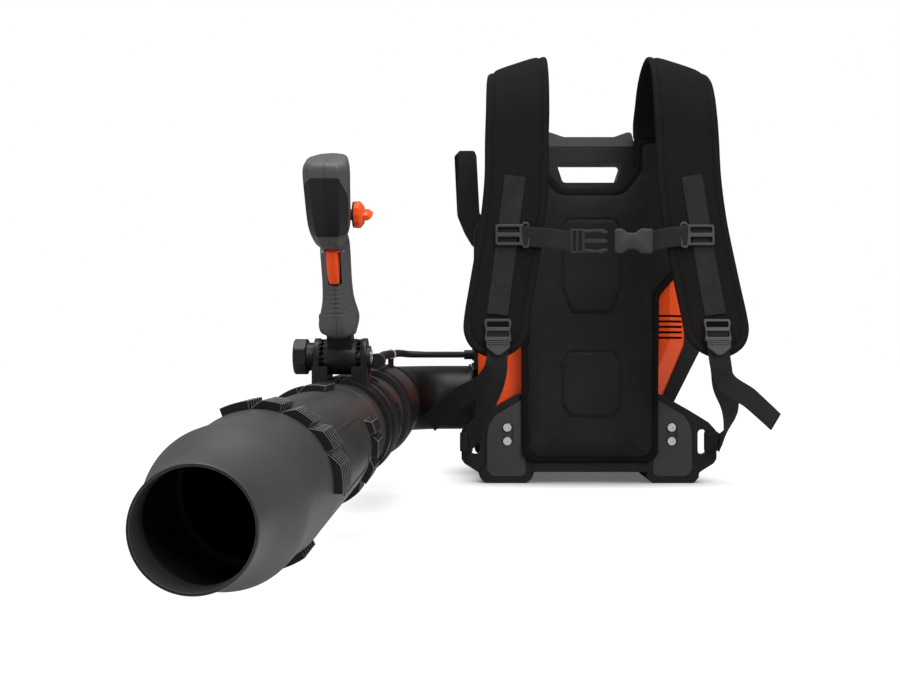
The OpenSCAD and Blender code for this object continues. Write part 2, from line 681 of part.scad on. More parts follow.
module impeller() color(grey_plastic) translate([0, 0, fan_z]) {
    front = scroll_y + 7;
    back = bell_y + 14;
    difference() {
        union() {
            along_y(impeller_r, back - 3, back);
            along_y(bell_r + 4, bell_y - 4, back);
            along_y(shaft_r + 6, bell_y - 12, bell_y);
        }
        along_y(bell_r, bell_y, back + 1);
        along_y(shaft_r, bell_y - 13, bell_y + 1);
    }
    front_ring(impeller_r, inlet_r - 4, front, front + 2.5);
    for (i = [0:blade_count - 1]) rotate([0, i * 360 / blade_count, 0]) front_view(front + 1, back - 1) blade();
}
// One backward-curved blade between the hub cup and the rim
module blade() intersection() {
    difference() {
        translate([-20, impeller_r * 0.62]) circle(r = impeller_r * 0.56);
        translate([-20, impeller_r * 0.62]) circle(r = impeller_r * 0.56 - blade_t);
    }
    difference() {
        circle(r = impeller_r - 0.5);
        circle(r = bell_r + 8);
        translate([-200, -100]) square([200 - 8, 300]);
    }
}

module controller() color([0.2, 0.32, 0.24]) {
    x = -housing_left + cover_wall + 0.3;
    translate([x, seam_y + 12, 250]) cube([6, 60, 84]);
    for (i = [0:6]) translate([x + 6, seam_y + 16 + i * 8, 256]) cube([14, 3, 72]);
}

// ---- Battery ----
module battery_bay() color(black_plastic) {
    w = battery_w / 2 + side_gap;
    difference() {
        translate([-w - bay_wall, rear_y, battery_floor - bay_wall - side_gap])
            cube([2 * (w + bay_wall), bay_back + bay_wall - rear_y, bay_h]);
        translate([-w, rear_y + bay_wall, battery_floor - side_gap]) cube([2 * w, bay_back - rear_y - bay_wall, bay_h + 10]);
        translate([-latch_w / 2 - side_gap, bay_back - 1, latch_z - side_gap])
            cube([latch_w + 2 * side_gap, bay_wall + 2, latch_h + 2 * side_gap]);
        // Low front lip, so that the battery can be gripped
        translate([-w + 12, bay_back - 1, battery_floor + bay_h - 34]) cube([2 * w - 24, bay_wall + 2, 40]);
    }
    // Guard round the latch
    translate([0, 0, latch_z + latch_h / 2]) front_view(bay_back + bay_wall - 0.5, bay_back + bay_wall + latch_travel)
        difference() {
            polygon(rounded(rect(latch_w + 9, latch_h + 9), 4, 3));
            polygon(rounded(rect(latch_w + 2 * side_gap, latch_h + 2 * side_gap), 0));
        }
}
latch_w = 38;
latch_h = 24;
latch_z = battery_floor + 44;
module battery_latch() color(orange_plastic) {
    translate([-latch_w / 2, bay_back + latch_travel + side_gap, latch_z])
        cube([latch_w, bay_wall + 4 - latch_travel - side_gap, latch_h]);
    for (i = [0:2]) translate([-latch_w / 2 + 4, bay_back + bay_wall + 4, latch_z + 5 + 5 * i]) cube([latch_w - 8, 1.5, 2]);
}
module terminal_block() color(copper) {
    translate([-30, battery_y + 18, battery_floor - side_gap]) difference() {
        cube([60, 30, 10]);
        for (i = [0:3]) translate([6 + 13 * i, 6, 2]) cube([8, 18, 9]);
    }
}
module battery() color(grey_plastic) difference() {
    union() {
        translate([0, battery_y + battery_d / 2, battery_floor]) linear_extrude(battery_h - 12)
            polygon(rounded(rect(battery_w, battery_d), 9));
        translate([0, battery_y + battery_d / 2, battery_floor + battery_h - 12]) linear_extrude(12)
            polygon(rounded(rect(battery_w - 8, battery_d - 8), 8));
        // Ribs on the outer face
        for (i = [-3:3]) translate([16 * i - 2, battery_y + battery_d - 3, battery_floor + bay_h])
            cube([4, 3.2, battery_h - bay_h - 16]);
    }
    // Pocket that drops over the terminals
    translate([-30 - side_gap, battery_y + 18 - side_gap, battery_floor - 1])
        cube([60 + 2 * side_gap, 30 + 2 * side_gap, 11 + side_gap]);
    // Finger recess under the top
    translate([-32, battery_y + battery_d - 8, battery_floor + battery_h - 34]) cube([64, 12, 14]);
}

// ---- Storage hook, screws and gland ----
module storage_hook() color(black_plastic) {
    y0 = seam_y + 30;
    x = -housing_left;
    hook = [
        [x + 12, 326], [x + 16, 372], [x + 8.5, 374], [x + 4, 458], [x + 1, 466],
        [x - 21, 466], [x - 28, 458], [x - 24, 374], [x - 13, 348], [x - 2, 330]
    ];
    difference() {
        front_view(y0, y0 + 22) polygon(rounded(hook, [0, 0, 5, 4, 4, 5, 6, 18, 14, 6]));
        // Seat on the rear cover's side and corner
        front_view(y0 - 1, y0 + 23) polygon(rounded(rear_outline, outline_round, 3));
        for (s = [-1, 1]) translate([x - 24, y0 + 11 + 12 * s, 320]) rotate([0, 0, 45 * s])
            translate([-3, -3, 0]) cube([6, 6, 180]);
    }
}
module cover_screws() color(steel) for (p = cover_screw_places()) translate([p[0], 0, p[1]]) {
    difference() {
        along_y(4.5, rear_y, rear_y + 2.5);
        translate([0, rear_y + 3, 0]) rotate([90, 0, 0]) cylinder(r = 2, h = 2, $fn = 6);
    }
    along_y(2.5, rear_y - 9, rear_y + 1);
}
module conduit_gland() color(black_plastic) translate([0, conduit_points[0][1], conduit_z]) difference() {
    union() {
        along_x(8.5, -housing_left - 2.5, -housing_left + 4);
        along_x(conduit_d / 2 + 1.8, -housing_left - 14, -housing_left);
    }
    along_x(conduit_d / 2 + side_gap / 3, -housing_left - 15, -housing_left - 6);
}

// ---- Harness ----
module shoulder_strap() {
    path = [for (s = strap_stations) s[0]];
    widths = [for (s = strap_stations) [cos(s[2]), 0, -sin(s[2])]];
    loft(swept(path, widths, [for (s = strap_stations) band(s[1], strap_t)]));
}
module left_shoulder_strap() color(strap_fabric) mirror([1, 0, 0]) shoulder_strap();
module right_shoulder_strap() color(strap_fabric) shoulder_strap();

// Place on the right strap's centre line at height z, on its outer face
function strap_at(z) = let (k = [for (i = [0:8]) if (strap_stations[i][0][2] <= z) i], i = k[len(k) - 1])
    let (a = strap_stations[i][0], b = strap_stations[i + 1][0], f = (z - a[2]) / (b[2] - a[2]))
    a + (b - a) * f;
function strap_slope(z) = let (a = strap_at(max(strap_low, z - 6)), b = strap_at(max(strap_low, z - 6) + 12))
    (b[1] - a[1]) / (b[2] - a[2]);
function strap_face(x, z, lift) = [x, strap_at(z)[1] - (strap_t / 2 + lift) * sqrt(1 + pow(strap_slope(z), 2)), z];

module flat_ribbon(path, w, t, side = [1, 0, 0]) {
    loft(swept(path, [for (p = path) side], [for (p = path) [[w / 2, -t / 2], [w / 2, t / 2], [-w / 2, t / 2], [-w / 2, -t / 2]]]));
}
module right_sewn_webbing() {
    levels = [web_top[1], web_top[1] - 5, 335, 285, 250, web_bottom_z];
    flat_ribbon([for (i = [len(levels) - 1:-1:0])
        let (z = levels[i], f = (web_top[1] - z) / (web_top[1] - web_bottom_z))
        strap_face(web_top[0] + (lock_x - web_top[0]) * f, z, web_t / 2 + 0.15)], web_w, web_t);
}
module sewn_webbing() color(web_fabric) both_sides() right_sewn_webbing();

// Frame of the buckles on the right strap: local X outwards, local Y up, local Z away from the wearer
module on_strap(x, z, lift) {
    p = strap_face(x, z, lift);
    lean = atan2(strap_at(z + 10)[1] - strap_at(z - 10)[1], 20);
    translate(p) rotate([90 - lean, 0, 0]) children();
}
module web_frame(w, h, bar, t) linear_extrude(t) difference() {
    polygon(rounded(rect(w, h), 3, 2));
    for (s = [-1, 1]) translate([0, s * (h / 4 - bar / 4)]) square([w - 2 * bar, h / 2 - 1.5 * bar], center = true);
}
slider_lift = web_t + 0.3;
module strap_sliders() color(grey_plastic) both_sides() on_strap(chest_x, chest_z, slider_lift) {
    translate([5, 0, 0]) web_frame(web_w + 6, 26, 3.5, buckle_t);
    translate([-15, 0, 0]) linear_extrude(buckle_t) difference() {
        polygon(rounded(rect(10, web_w + 6), 2.5, 2));
        square([4, web_w], center = true);
    }
}
lock_lift = 2 * web_t + 1.3;
module ladder_locks() color(grey_plastic) both_sides() on_strap(lock_x, lock_z, lock_lift) {
    translate([0, 2, 0]) web_frame(web_w + 7, 26, 4, buckle_t);
    linear_extrude(buckle_t) polygon(rounded([[-14, -8], [14, -8], [14, -20], [2, -29], [-2, -29], [-14, -20]], 2, 2));
}
module lower_webbing(tip) {
    bar_x = base_half_w - wing_bar / 2;
    bar_z = (slot_z[0] + slot_z[1]) / 2;
    wing_y = leg_cover_t;
    near = 0.2 + web_t / 2;
    // Run to the wing, turning a quarter so that it lies round the upright bar
    run = [
        strap_face(lock_x, 198, near), strap_face(lock_x, 192, near), strap_face(lock_x + 0.5, 180, near),
        strap_face(lock_x + 1, 173, near), [lock_x + 3, -182, 160], [lock_x + 8, -160, 142],
        [lock_x + 18, -112, 110], [lock_x + 30, -64, 80], [bar_x + 4, -24, bar_z + 5], [bar_x + 8.4, wing_y - 3, bar_z]
    ];
    turn = [0, 0, 0, 0, 3, 12, 34, 58, 80, 90];
    section = [[web_w / 2, -web_t / 2], [web_w / 2, web_t / 2], [-web_w / 2, web_t / 2], [-web_w / 2, -web_t / 2]];
    loft(swept(run, [for (a = turn) [cos(a), 0, sin(a)]], [for (p = run) section]));
    translate([bar_x, wing_y + wing_t / 2, bar_z - web_w / 2]) linear_extrude(web_w) difference() {
        polygon(rounded(rect(wing_bar + 0.8 + 2 * web_t, wing_t + 0.8 + 2 * web_t), 3));
        polygon(rounded(rect(wing_bar + 0.8, wing_t + 0.8), 1));
    }
    // Free end
    tail = [
        strap_face(lock_x, 198, near + web_t + 0.2), strap_face(lock_x, 192, near + web_t + 0.2),
        strap_face(lock_x + 0.5, 180, near + web_t + 0.2), strap_face(lock_x + 1, 173, near + web_t + 0.2), [lock_x + 3, -184.5, 161], [lock_x + 9, -171, 150],
        [(lock_x + tip[0]) / 2 + 6, (tip[1] - 160) / 2 - 3, 120], tip
    ];
    sides = [[1, 0, 0], [1, 0, 0], [1, 0, 0], [1, 0, 0.02], [0.97, 0, 0.2], [0.84, 0, 0.54], [0.6, 0.1, 0.8], [0.55, 0.1, 0.82]];
    loft(swept(tail, sides, [for (p = tail) section]));
}
module left_lower_webbing() color(web_fabric) mirror([1, 0, 0]) lower_webbing([-tail_tip[0][0], tail_tip[0][1], tail_tip[0][2]]);
module right_lower_webbing() color(web_fabric) lower_webbing(tail_tip[1]);

chest_y = strap_face(chest_x, chest_z, 0)[1];
buckle_z = 311;
module chest_webbing() color(web_fabric) {
    y = chest_y - slider_lift - buckle_t / 2;
    reach = chest_x - 21.5;
    flat_ribbon([[-reach, y, chest_z - 2], [-68, y, chest_z - 4], [-41.3, y, buckle_z]], web_w - 1, web_t, [0, 0, 1]);
    flat_ribbon([[55, y, buckle_z], [74, y, chest_z - 3], [reach, y, chest_z - 1]], web_w - 1, web_t, [0, 0, 1]);
}
module buckle_plug() color(grey_plastic) translate([0, chest_y - slider_lift - buckle_t / 2, buckle_z]) difference() {
    front_view(-buckle_t / 2, buckle_t / 2) {
        difference() {
            polygon(rounded([[-24, -14], [-24, 14], [-42, 14], [-42, -14]], 2.5, 2));
            translate([-38, -web_w / 2]) square([3.6, web_w]);
            translate([-31.5, -web_w / 2]) square([3.6, web_w]);
        }
        translate([-26, -2.5]) square([28, 5]);
        for (s = [-1, 1]) polygon([
            [-26, s * 13], [-10, s * 13.5], [-2, s * 14], [3.5, s * 11], [-3, s * 8.5], [-10, s * 10], [-26, s * 9]
        ]);
    }
    // Slit that takes the webbing's end
    translate([-50, -web_t / 2 - 0.15, -web_w / 2]) cube([10.2, web_t + 0.3, web_w]);
}
module buckle_socket() color(grey_plastic) translate([0, chest_y - slider_lift - buckle_t / 2, buckle_z]) difference() {
    front_view(-5, 5) polygon(rounded([
        [11, -14], [20, -15], [27, -9.5], [36, -9.5], [43, -15], [57, -14.5], [57, 14.5], [43, 15], [36, 9.5], [27, 9.5],
        [20, 15], [11, 14]
    ], [3, 3, 5, 5, 3, 2, 2, 3, 5, 5, 3, 3], 3));
    translate([5, -buckle_t / 2 - 0.4, -12.5]) cube([34, buckle_t + 0.8, 25]);
    translate([51.5, -web_t / 2 - 0.15, -web_w / 2]) cube([10, web_t + 0.3, web_w]);
}

// ---- Elbow, bellows and cuff ----
module elbow_pipe() color(black_plastic) difference() {
    union() {
        elbow_solid(pipe_r, -housing_left - 3.3);
        translate([0, duct_y, duct_z]) along_x(pipe_r - 1, -housing_left - 10, -housing_left + 21);
        on_tube() translate([0, 0, elbow_end - 1]) cylinder(r = spigot_r, h = sleeve_l + 1);
        translate([0, duct_y, duct_z]) along_x(pipe_r + 2.5, -housing_left - 7.3, -housing_left - 3.3);
    }
    elbow_solid(pipe_r - 1 - pipe_wall, -housing_left + 25);
    on_tube() translate([0, 0, elbow_end - 1]) cylinder(r = spigot_r - pipe_wall, h = sleeve_l + 3);
}
module elbow_solid(r, x_end) {
    translate([0, duct_y, duct_z]) along_x(r, -tube_x + bend_r, x_end);
    translate([-tube_x + bend_r, duct_y - bend_r, duct_z]) rotate([0, 0, 90]) rotate_extrude(angle = 90)
        translate([bend_r, 0]) circle(r = r);
}
function folds(n, s0, s1, r_low, r_high) = let (pitch = (s1 - s0) / n)
    [for (i = [0:n - 1]) each [[r_low, s0 + i * pitch], [r_high, s0 + (i + 0.3) * pitch], [r_high, s0 + (i + 0.6) * pitch]]];
module bellows() color([0.08, 0.08, 0.08]) on_tube() {
    s0 = elbow_end + side_gap;
    s1 = cuff_back - side_gap;
    r_in = spigot_r + side_gap;
    a = s0 + sleeve_l;
    b = s1 - sleeve_l;
    outer = folds(fold_count, a, b, r_in + sleeve_t, r_in + sleeve_t + 4.5);
    inner = folds(fold_count, a, b, r_in, r_in + 4.5);
    k = len(inner);
    rotate_extrude() polygon(concat(
        [[r_in, s0], [r_in + sleeve_t, s0]], outer, [[r_in + sleeve_t, b], [r_in + sleeve_t, s1], [r_in, s1], [r_in, b]],
        [for (i = [k - 1:-1:0]) inner[i]]
    ));
}
module hose_clamp(s) on_tube() {
    r = spigot_r + side_gap + sleeve_t + side_gap;
    ring(r + hose_clamp_t, r, s, s + clamp_w);
    translate([-r - 4, -9, s + clamp_w / 2]) rotate([-90, 0, 0]) {
        cylinder(r = 3.6, h = 18);
        translate([0, 0, -3]) cylinder(r = 5, h = 4, $fn = 6);
    }
}
module rear_hose_clamp() color(steel) hose_clamp(elbow_end + 3);
module front_hose_clamp() color(steel) hose_clamp(cuff_back - 3 - clamp_w);
tube_spigot_r = tube_r + 1;
module cuff() color(black_plastic) on_tube() {
    s0 = cuff_back;
    s1 = cuff_front;
    rotate_extrude() polygon([
        [spigot_r - pipe_wall, s0 - sleeve_l], [spigot_r, s0 - sleeve_l], [spigot_r, s0], [cuff_r - 2, s0],
        [cuff_r, s0 + 7], [cuff_r, s0 + 105], [cuff_r - 2.5, s1 - 17], [cuff_r - 5, s1 - 14], [cuff_r - 5, s1 - 10],
        [cuff_r - 3.4, s1 - 7], [cuff_r - 3.4, s1 - 1], [cuff_r - 4.4, s1], [tube_spigot_r + run_gap, s1],
        [tube_spigot_r + run_gap, s1 - 44], [spigot_r - pipe_wall, s1 - 50]
    ]);
}
module conduit_clip() color([0.85, 0.85, 0.85]) {
    // Loop round the conduit, standing on the cuff
    y = -cuff_back - 40;
    translate([-258, y - 4, conduit_z + 3]) {
        front_ring(conduit_d / 2 + 2.2, conduit_d / 2 + side_gap, 0, 8);
    }
    translate([-258, y - 4, 0]) front_view(0, 8) difference() {
        translate([-2, conduit_z - 15]) square([4, 12.6]);
        translate([258 - tube_x, duct_z]) circle(r = cuff_r);
        translate([0, conduit_z + 3]) circle(r = conduit_d / 2 + 1);
    }
}
module conduit() color([0.07, 0.06, 0.06]) {
    n = len(conduit_points);
    tangents = [for (i = [0:n - 1]) tangent(conduit_points, i)];
    side = [for (t = tangents) cross([0, 0, 1], t)];
    loft(swept(conduit_points, side, [for (i = [0:n - 1]) circle_points(conduit_d / 2, 10)]));
}

// ---- Blower tube ----
module blower_tube() color([0.3, 0.3, 0.31]) on_tube() {
    s0 = cuff_front - 38;
    rotate_extrude() polygon([
        [tube_spigot_r - tube_wall, s0], [tube_spigot_r, s0], [tube_spigot_r, collar_back + 6], [tube_r, collar_back + 12],
        [tube_r, seam_s], [tube_r - 1.6, seam_s], [tube_r - 1.6, seam_s + 18], [tube_r - 1.6 - tube_wall, seam_s + 18],
        [tube_r - 1.6 - tube_wall, seam_s - 4], [tube_r - tube_wall, seam_s - 12], [tube_r - tube_wall, collar_back + 14],
        [tube_spigot_r - tube_wall, collar_back + 4]
    ]);
    // Raised bare frame on the side, between the lug rings
    label_frame();
}
module label_frame() rotate([0, 0, -8]) intersection() {
    ring(tube_r + 1, tube_r - 1, rear_lug_front + 20, front_lug_front - front_lug_l - 24);
    translate([20, 0, (rear_lug_front + front_lug_front - front_lug_l - 4) / 2]) rotate([0, 90, 0])
        linear_extrude(30) difference() {
            polygon(rounded(rect(front_lug_front - front_lug_l - rear_lug_front - 44, 44), 6, 2));
            polygon(rounded(rect(front_lug_front - front_lug_l - rear_lug_front - 48, 40), 5, 2));
        }
}
function nozzle_outer() = let (s = seam_s, l = nozzle_l) concat(
    [[tube_r, s], [tube_r, s + 8], [shoulder_r, s + l - 50]],
    [for (t = [15:15:75]) [shoulder_r - 8.2 * (1 - cos(t)), s + l - 50 + 25 * sin(t)]],
    [for (t = [75:-15:0]) [mouth_r + 0.2 + 5.4 * (1 - sin(90 - t)) , s + l - 4 - 20 * sin(t)]],
    [[mouth_r, s + l]]
);
module nozzle() color([0.33, 0.33, 0.34]) on_tube() {
    s = seam_s;
    l = nozzle_l;
    w = mouth_wall;
    rotate_extrude() polygon(concat(nozzle_outer(), [
        [mouth_r - w, s + l], [mouth_r - w, s + l - 12], [mouth_r + 2, s + l - 24], [shoulder_r - 6.5, s + l - 38],
        [shoulder_r - 2.2, s + l - 52], [tube_r - 1.6, s + 24], [tube_r - 1.6, s]
    ]));
}

// Lugs of one group: angle from the top, width in degrees, front end, first groove and rear end
front_lug_rows = [
    [-27, 21.4, 0, 15, 38], [-5, 22.6, 0, 17, 40], [18, 23.6, 0, 14, 37], [42, 22.6, 0, 17, 42], [65, 31, 0, 14, 39]
];
rear_lug_rows = [[-45, 27.6, 6, 0, 40], [-17, 28, 0, 0, 52], [61, 16, 0, 0, 44], [78, 23, 9, 0, 54], [102, 24, 2, 0, 48]];
groove_pitch = 4.8;
lug_gap = 0.35;
// Share of the lug's height at each place across it, from its steep end to its low one
lug_rise = [0.92, 0.97, 1, 1, 0.3];
// Flats of the lug's inner face just clear the round tube
function sector_points(width, h, s) = let (
    n = len(lug_rise) - 1, step = (width - 2 * lug_gap) / n, r_in = tube_r / cos(step / 2) + 0.02
) concat(
    [for (j = [0:n]) let (a = lug_gap + step * j, r = r_in + max(0.4, h * lug_rise[j])) [r * cos(a), r * sin(a), s]],
    [for (j = [n:-1:0]) let (a = lug_gap + step * j) [r_in * cos(a), r_in * sin(a), s]]
);
// Height of a lug over the tube, from its rear end to its front end
function lug_profile(row, ribs) = concat(
    [[-row[4], lug_h - 1.5], [-row[4] + 1, lug_h]],
    ribs ? [for (k = [rib_count - 1:-1:0]) let (g = -row[3] - groove_pitch * k)
        each [[g - 1.4, lug_h], [g, lug_h - 3.4], [g + 1.4, lug_h]]] : [],
    [[-row[2] - 9, lug_h], [-row[2] - 3, lug_h - 1.2], [-row[2], 1]]
);
module lug_ring(front, rows, ribs) color([0.14, 0.14, 0.14]) on_tube() translate([0, 0, front])
    for (g = [0, lug_turn], row = rows) rotate([0, 0, 90 - row[0] - row[1] - g])
        loft([for (p = lug_profile(row, ribs)) sector_points(row[1], p[1], p[0])]);
module front_lugs() lug_ring(front_lug_front, front_lug_rows, true);
module rear_lugs() lug_ring(rear_lug_front, rear_lug_rows, false);

module swivel_collar() color(black_plastic) on_tube() difference() {
    rotate_extrude() polygon([
        [tube_spigot_r, collar_back], [collar_r - 1, collar_back], [collar_r, collar_back + 2],
        [collar_r, collar_front - 16], [collar_r - 2, collar_front - 13], [collar_r - 2, collar_front - 8],
        [collar_r - 1, collar_front - 6], [collar_r - 1, collar_front - 1], [collar_r - 2, collar_front],
        [tube_r, collar_front], [tube_r, collar_back + 12], [tube_spigot_r, collar_back + 6]
    ]);
    for (a = [20:40:359]) rotate([0, 0, a]) translate([collar_r - 1.6, -4, collar_back + 18]) cube([6, 8, 26]);
}

// ---- Bracket and clamp ----
// Ring of radial V teeth with tips at z = 0, standing on a disc that ends at z = -base
module toothed_ring(r_out, r_in, base, phase) {
    n = 2 * tooth_count;
    pts = [for (i = [0:n - 1])
        let (a = (i + phase) * 360 / n, z = i % 2 == 0 ? 0 : -tooth_h, c = cos(a), d = sin(a))
        each [[r_out * c, r_out * d, -base], [r_in * c, r_in * d, -base], [r_in * c, r_in * d, z], [r_out * c, r_out * d, z]]];
    polyhedron(pts, [for (i = [0:n - 1], j = [0:3])
        let (p = 4 * i, q = 4 * ((i + 1) % n), k = (j + 1) % 4)
        each [[p + j, q + j, q + k], [p + j, q + k, p + k]]], convexity = 6);
}
ring_bore = tube_r + run_gap;
foot_low = ring_bore - tilt_h - 8;
module clamp_bracket() color(black_plastic) {
    ear_out = ear_gap + ear_t;
    difference() {
        union() {
            on_tube() ring(ring_bore + ring_wall, ring_bore, ring_back, ring_front);
            on_tube() ring(ring_bore + ring_wall + 1.2, ring_bore, ring_back + 4, ring_back + 10);
            on_tilt() both_sides() {
                // Ear plate with a foot that reaches in before and behind the barrel
                side_view(ear_gap + tooth_h, ear_out) ear_shape();
                side_view(ear_gap - foot_in, ear_out + 1) difference() {
                    translate([-ear_r - 2, foot_low]) square([2 * ear_r + 4, -foot_top - foot_low]);
                    circle(r = ear_r);
                }
                translate([ear_gap, 0, 0]) rotate([0, -90, 0]) toothed_ring(hub_r - 0.3, clamp_bolt_r + 3, tooth_h + 1, 0);
            }
            on_tilt() along_x(10, ear_out - 1, ear_out + 3);
            // Socket that the conduit ends in
            translate([conduit_end[0], 0, conduit_end[2]]) along_y(conduit_d / 2 + 2.3, -tilt_s + 8, conduit_end[1] - side_gap);
        }
        on_tube() translate([0, 0, ring_back - 5]) cylinder(r = ring_bore, h = ring_l + 10);
        on_tilt() along_x(clamp_bolt_r + run_gap, -40, ear_out + 10);
        on_tilt() translate([ear_out - 1, 0, 0]) rotate([0, 90, 0]) cylinder(r = 7, h = 10, $fn = 6);
        // Split that lets the ring close on the tube
        on_tube() translate([-1, ring_bore - 4, ring_back - 1]) cube([2, 14, ring_l + 2]);
    }
}
module ear_shape() {
    union() {
        circle(r = ear_r);
        polygon([
            [-ear_r, 0], [ear_r, 0], [ear_r, foot_low], [-ear_r, foot_low]
        ]);
    }
}
module clamp_nut() color(steel) on_tilt() translate([ear_gap + ear_t - 0.8, 0, 0]) rotate([0, 90, 0]) difference() {
    cylinder(r = 6.8, h = 5, $fn = 6);
    translate([0, 0, -1]) cylinder(r = clamp_bolt_r + run_gap, h = 8);
}
module clamp_bolt() color(steel) on_tilt() along_x(clamp_bolt_r, -knob_in - 6, ear_gap + ear_t + 4);
module clamp_knob() color(black_plastic) on_tilt() difference() {
    union() {
        along_x(13, -knob_in, -ear_gap - ear_t - side_gap);
        translate([-knob_in - knob_t, 0, 0]) rotate([0, 90, 0]) intersection() {
            linear_extrude(knob_t) polygon(rounded(circle_points(knob_r, 8, 22.5), 3, 2));
            rotate_extrude() polygon([
                [0, 0], [knob_r - 2, 0], [knob_r + 1, 3], [knob_r + 1, knob_t - 2], [knob_r - 2, knob_t], [0, knob_t]
            ]);
        }
    }
    along_x(clamp_bolt_r, -knob_in - 6, 0);
}

// ---- Handle ----
module tilt_barrel() color(black_plastic) {
    half = hub_w / 2;
    on_tilt() rotate([grip_lean, 0, 0]) difference() {
        union() {
            along_x(hub_r, -half + tooth_h, half - tooth_h);
            for (s = [-1, 1]) translate([s * half, 0, 0]) rotate([0, s * 90, 0])
                toothed_ring(hub_r - 0.3, clamp_bolt_r + 3, tooth_h + 1, 1);
            translate([-11, -11, 0]) cube([22, 22, 26]);
        }
        along_x(clamp_bolt_r + run_gap, -30, 30);
    }
}

// Cross-sections of the grip: height, half width, front, back
grip_sections = [
    [24, 14, -17, 17], [29, 17, -21, 20], [36, 17.5, -22, 21], [44, 16, -20, 19], [54, 13.4, -18, 17.5],
    [70, 12.3, -17.5, 17.5], [98, 12.8, -18, 19], [106, 14, -24, 21], [113, 16.5, -33, 25], [121, 18.5, -38, 28],
    [148, head_half_w, -40, 30], [168, head_half_w, -39, 30], [grip_h - 10, head_half_w - 1, -36, 28],
    [grip_h - 3, head_half_w - 4, -30, 24], [grip_h, head_half_w - 9, -23, 17]
];
function grip_ring(s, d) = let (w = s[1] - d, f = s[2] + d, b = s[3] - d, r = min(9, 0.6 * w))
    [for (p = rounded([[w, f], [w, b], [-w, b], [-w, f]], r, 4)) [p[0], p[1], s[0] < 30 ? s[0] + d : s[0] > grip_h - 6 ? s[0] - d : s[0]]];
module grip_solid(d) loft([for (s = grip_sections) grip_ring(s, d)]);
module grip_shell() difference() {
    grip_solid(0);
    grip_solid(grip_wall);
    // Neck socket, trigger slot, dial bore, screw holes and the head cover's window
    translate([-11 - side_gap, -11 - side_gap, 20]) cube([22 + 2 * side_gap, 22 + 2 * side_gap, 8]);
    translate([-trigger_w / 2 - 0.5, -40, trigger_top - trigger_l - 2]) cube([trigger_w + 1, 34, trigger_l + 4]);
    translate([0, dial_y, dial_h]) along_x(5, 10, 30);
    head_window(0);
    for (p = grip_screw_places()) translate([0, p[0], p[1]]) {
        along_x(2 + run_gap, -30, 30);
        along_x(3.6 + side_gap, -40, -p[2] + 1.4);
    }
}
// Screws that join the halves: depth, height and half width of the grip there
function grip_screw_places() = [[6, 38, 17.3], [12, 113, 16.5], [12, 170, head_half_w]];
module head_window(d) front_view(-60, -30) polygon(rounded([
    [head_half_w - 6 - d, 122 + d], [head_half_w - 3 - d, 142], [head_half_w - 4 - d, 160], [11, 168 - d],
    [-11, 168 - d], [-head_half_w + 4 + d, 160], [-head_half_w + 3 + d, 142], [-head_half_w + 6 + d, 122 + d]
], 4, 2));
module grip_left_half() color(grey_plastic) on_handle() intersection() {
    grip_shell();
    translate([-60, -60, 0]) cube([60, 120, 220]);
}
module grip_right_half() color(grey_plastic) on_handle() intersection() {
    grip_shell();
    translate([0, -60, 0]) cube([60, 120, 220]);
}
module head_cover() color(black_plastic) on_handle() {
    intersection() {
        difference() {
            grip_solid(-0.6);
            translate([-60, -36, 0]) cube([120, 120, 220]);
        }
        head_window(side_gap);
    }
    // Flange that holds it behind the shells
    intersection() {
        difference() {
            grip_solid(grip_wall + 0.1);
            translate([-60, -35, 0]) cube([120, 120, 220]);
        }
        head_window(-1.5);
    }
}
module grip_screws() color(steel) on_handle() for (p = grip_screw_places()) translate([0, p[0], p[1]]) {
    along_x(2, -p[2] + 1, p[2] - 4);
    along_x(3.6, -p[2] - 0.4, -p[2] + 1.4);
}
module dial_seal() color([0.05, 0.05, 0.05]) on_handle() translate([0, dial_y, dial_h]) difference() {
    along_x(dial_r - 0.6, head_half_w, head_half_w + seal_t);
    along_x(5, head_half_w - 1, head_half_w + seal_t + 1);
}
module speed_dial() color(orange_plastic) on_handle() translate([head_half_w + seal_t + side_gap, dial_y, dial_h]) {
    rotate([0, 90, 0]) {
        linear_extrude(dial_t - 3) polygon(rounded(circle_points(dial_r, 12), 1, 1));
        translate([0, 0, dial_t - 3]) rotate_extrude() polygon([[0, 0], [dial_r - 0.5, 0], [dial_r - 3.6, 3], [0, 3]]);
    }
    // Raised finger bar and the spindle
    front_view(-dial_r + 2.5, dial_r - 2.5) polygon(rounded([
        [dial_t - 1, -3.2], [dial_t + 4, -3.2], [dial_t + 8, 0], [dial_t + 4, 3.2], [dial_t - 1, 3.2]
    ], [0, 1, 1, 1, 0], 2));
    along_x(5 - run_gap, -seal_t - side_gap - 8, 1);
}
module trigger_pin() color(steel) on_handle() translate([0, trigger_pivot[0], trigger_pivot[1]])
    along_x(pin_r, -10, 10);
module trigger() color(orange_plastic) on_handle() difference() {
    h = trigger_top;
    union() {
        side_view(-trigger_w / 2, trigger_w / 2) polygon(rounded([
            [-21, h], [-25, h - 5], [-23.5, h - 16], [-21, h - trigger_l + 4], [-17, h - trigger_l], [-14, h - trigger_l + 2],
            [-14.5, h - 14], [-11, h]
        ], [2, 3, 20, 3, 2, 2, 8, 2], 3));
        translate([0, trigger_pivot[0], trigger_pivot[1]]) along_x(4, -trigger_w / 2, trigger_w / 2);
        side_view(-trigger_w / 2, trigger_w / 2) polygon([[-18, h - 1], [-10, h - 1], [-10.5, h + 4], [-17.5, h + 4]]);
    }
    translate([0, trigger_pivot[0], trigger_pivot[1]]) along_x(pin_r + run_gap, -20, 20);
}

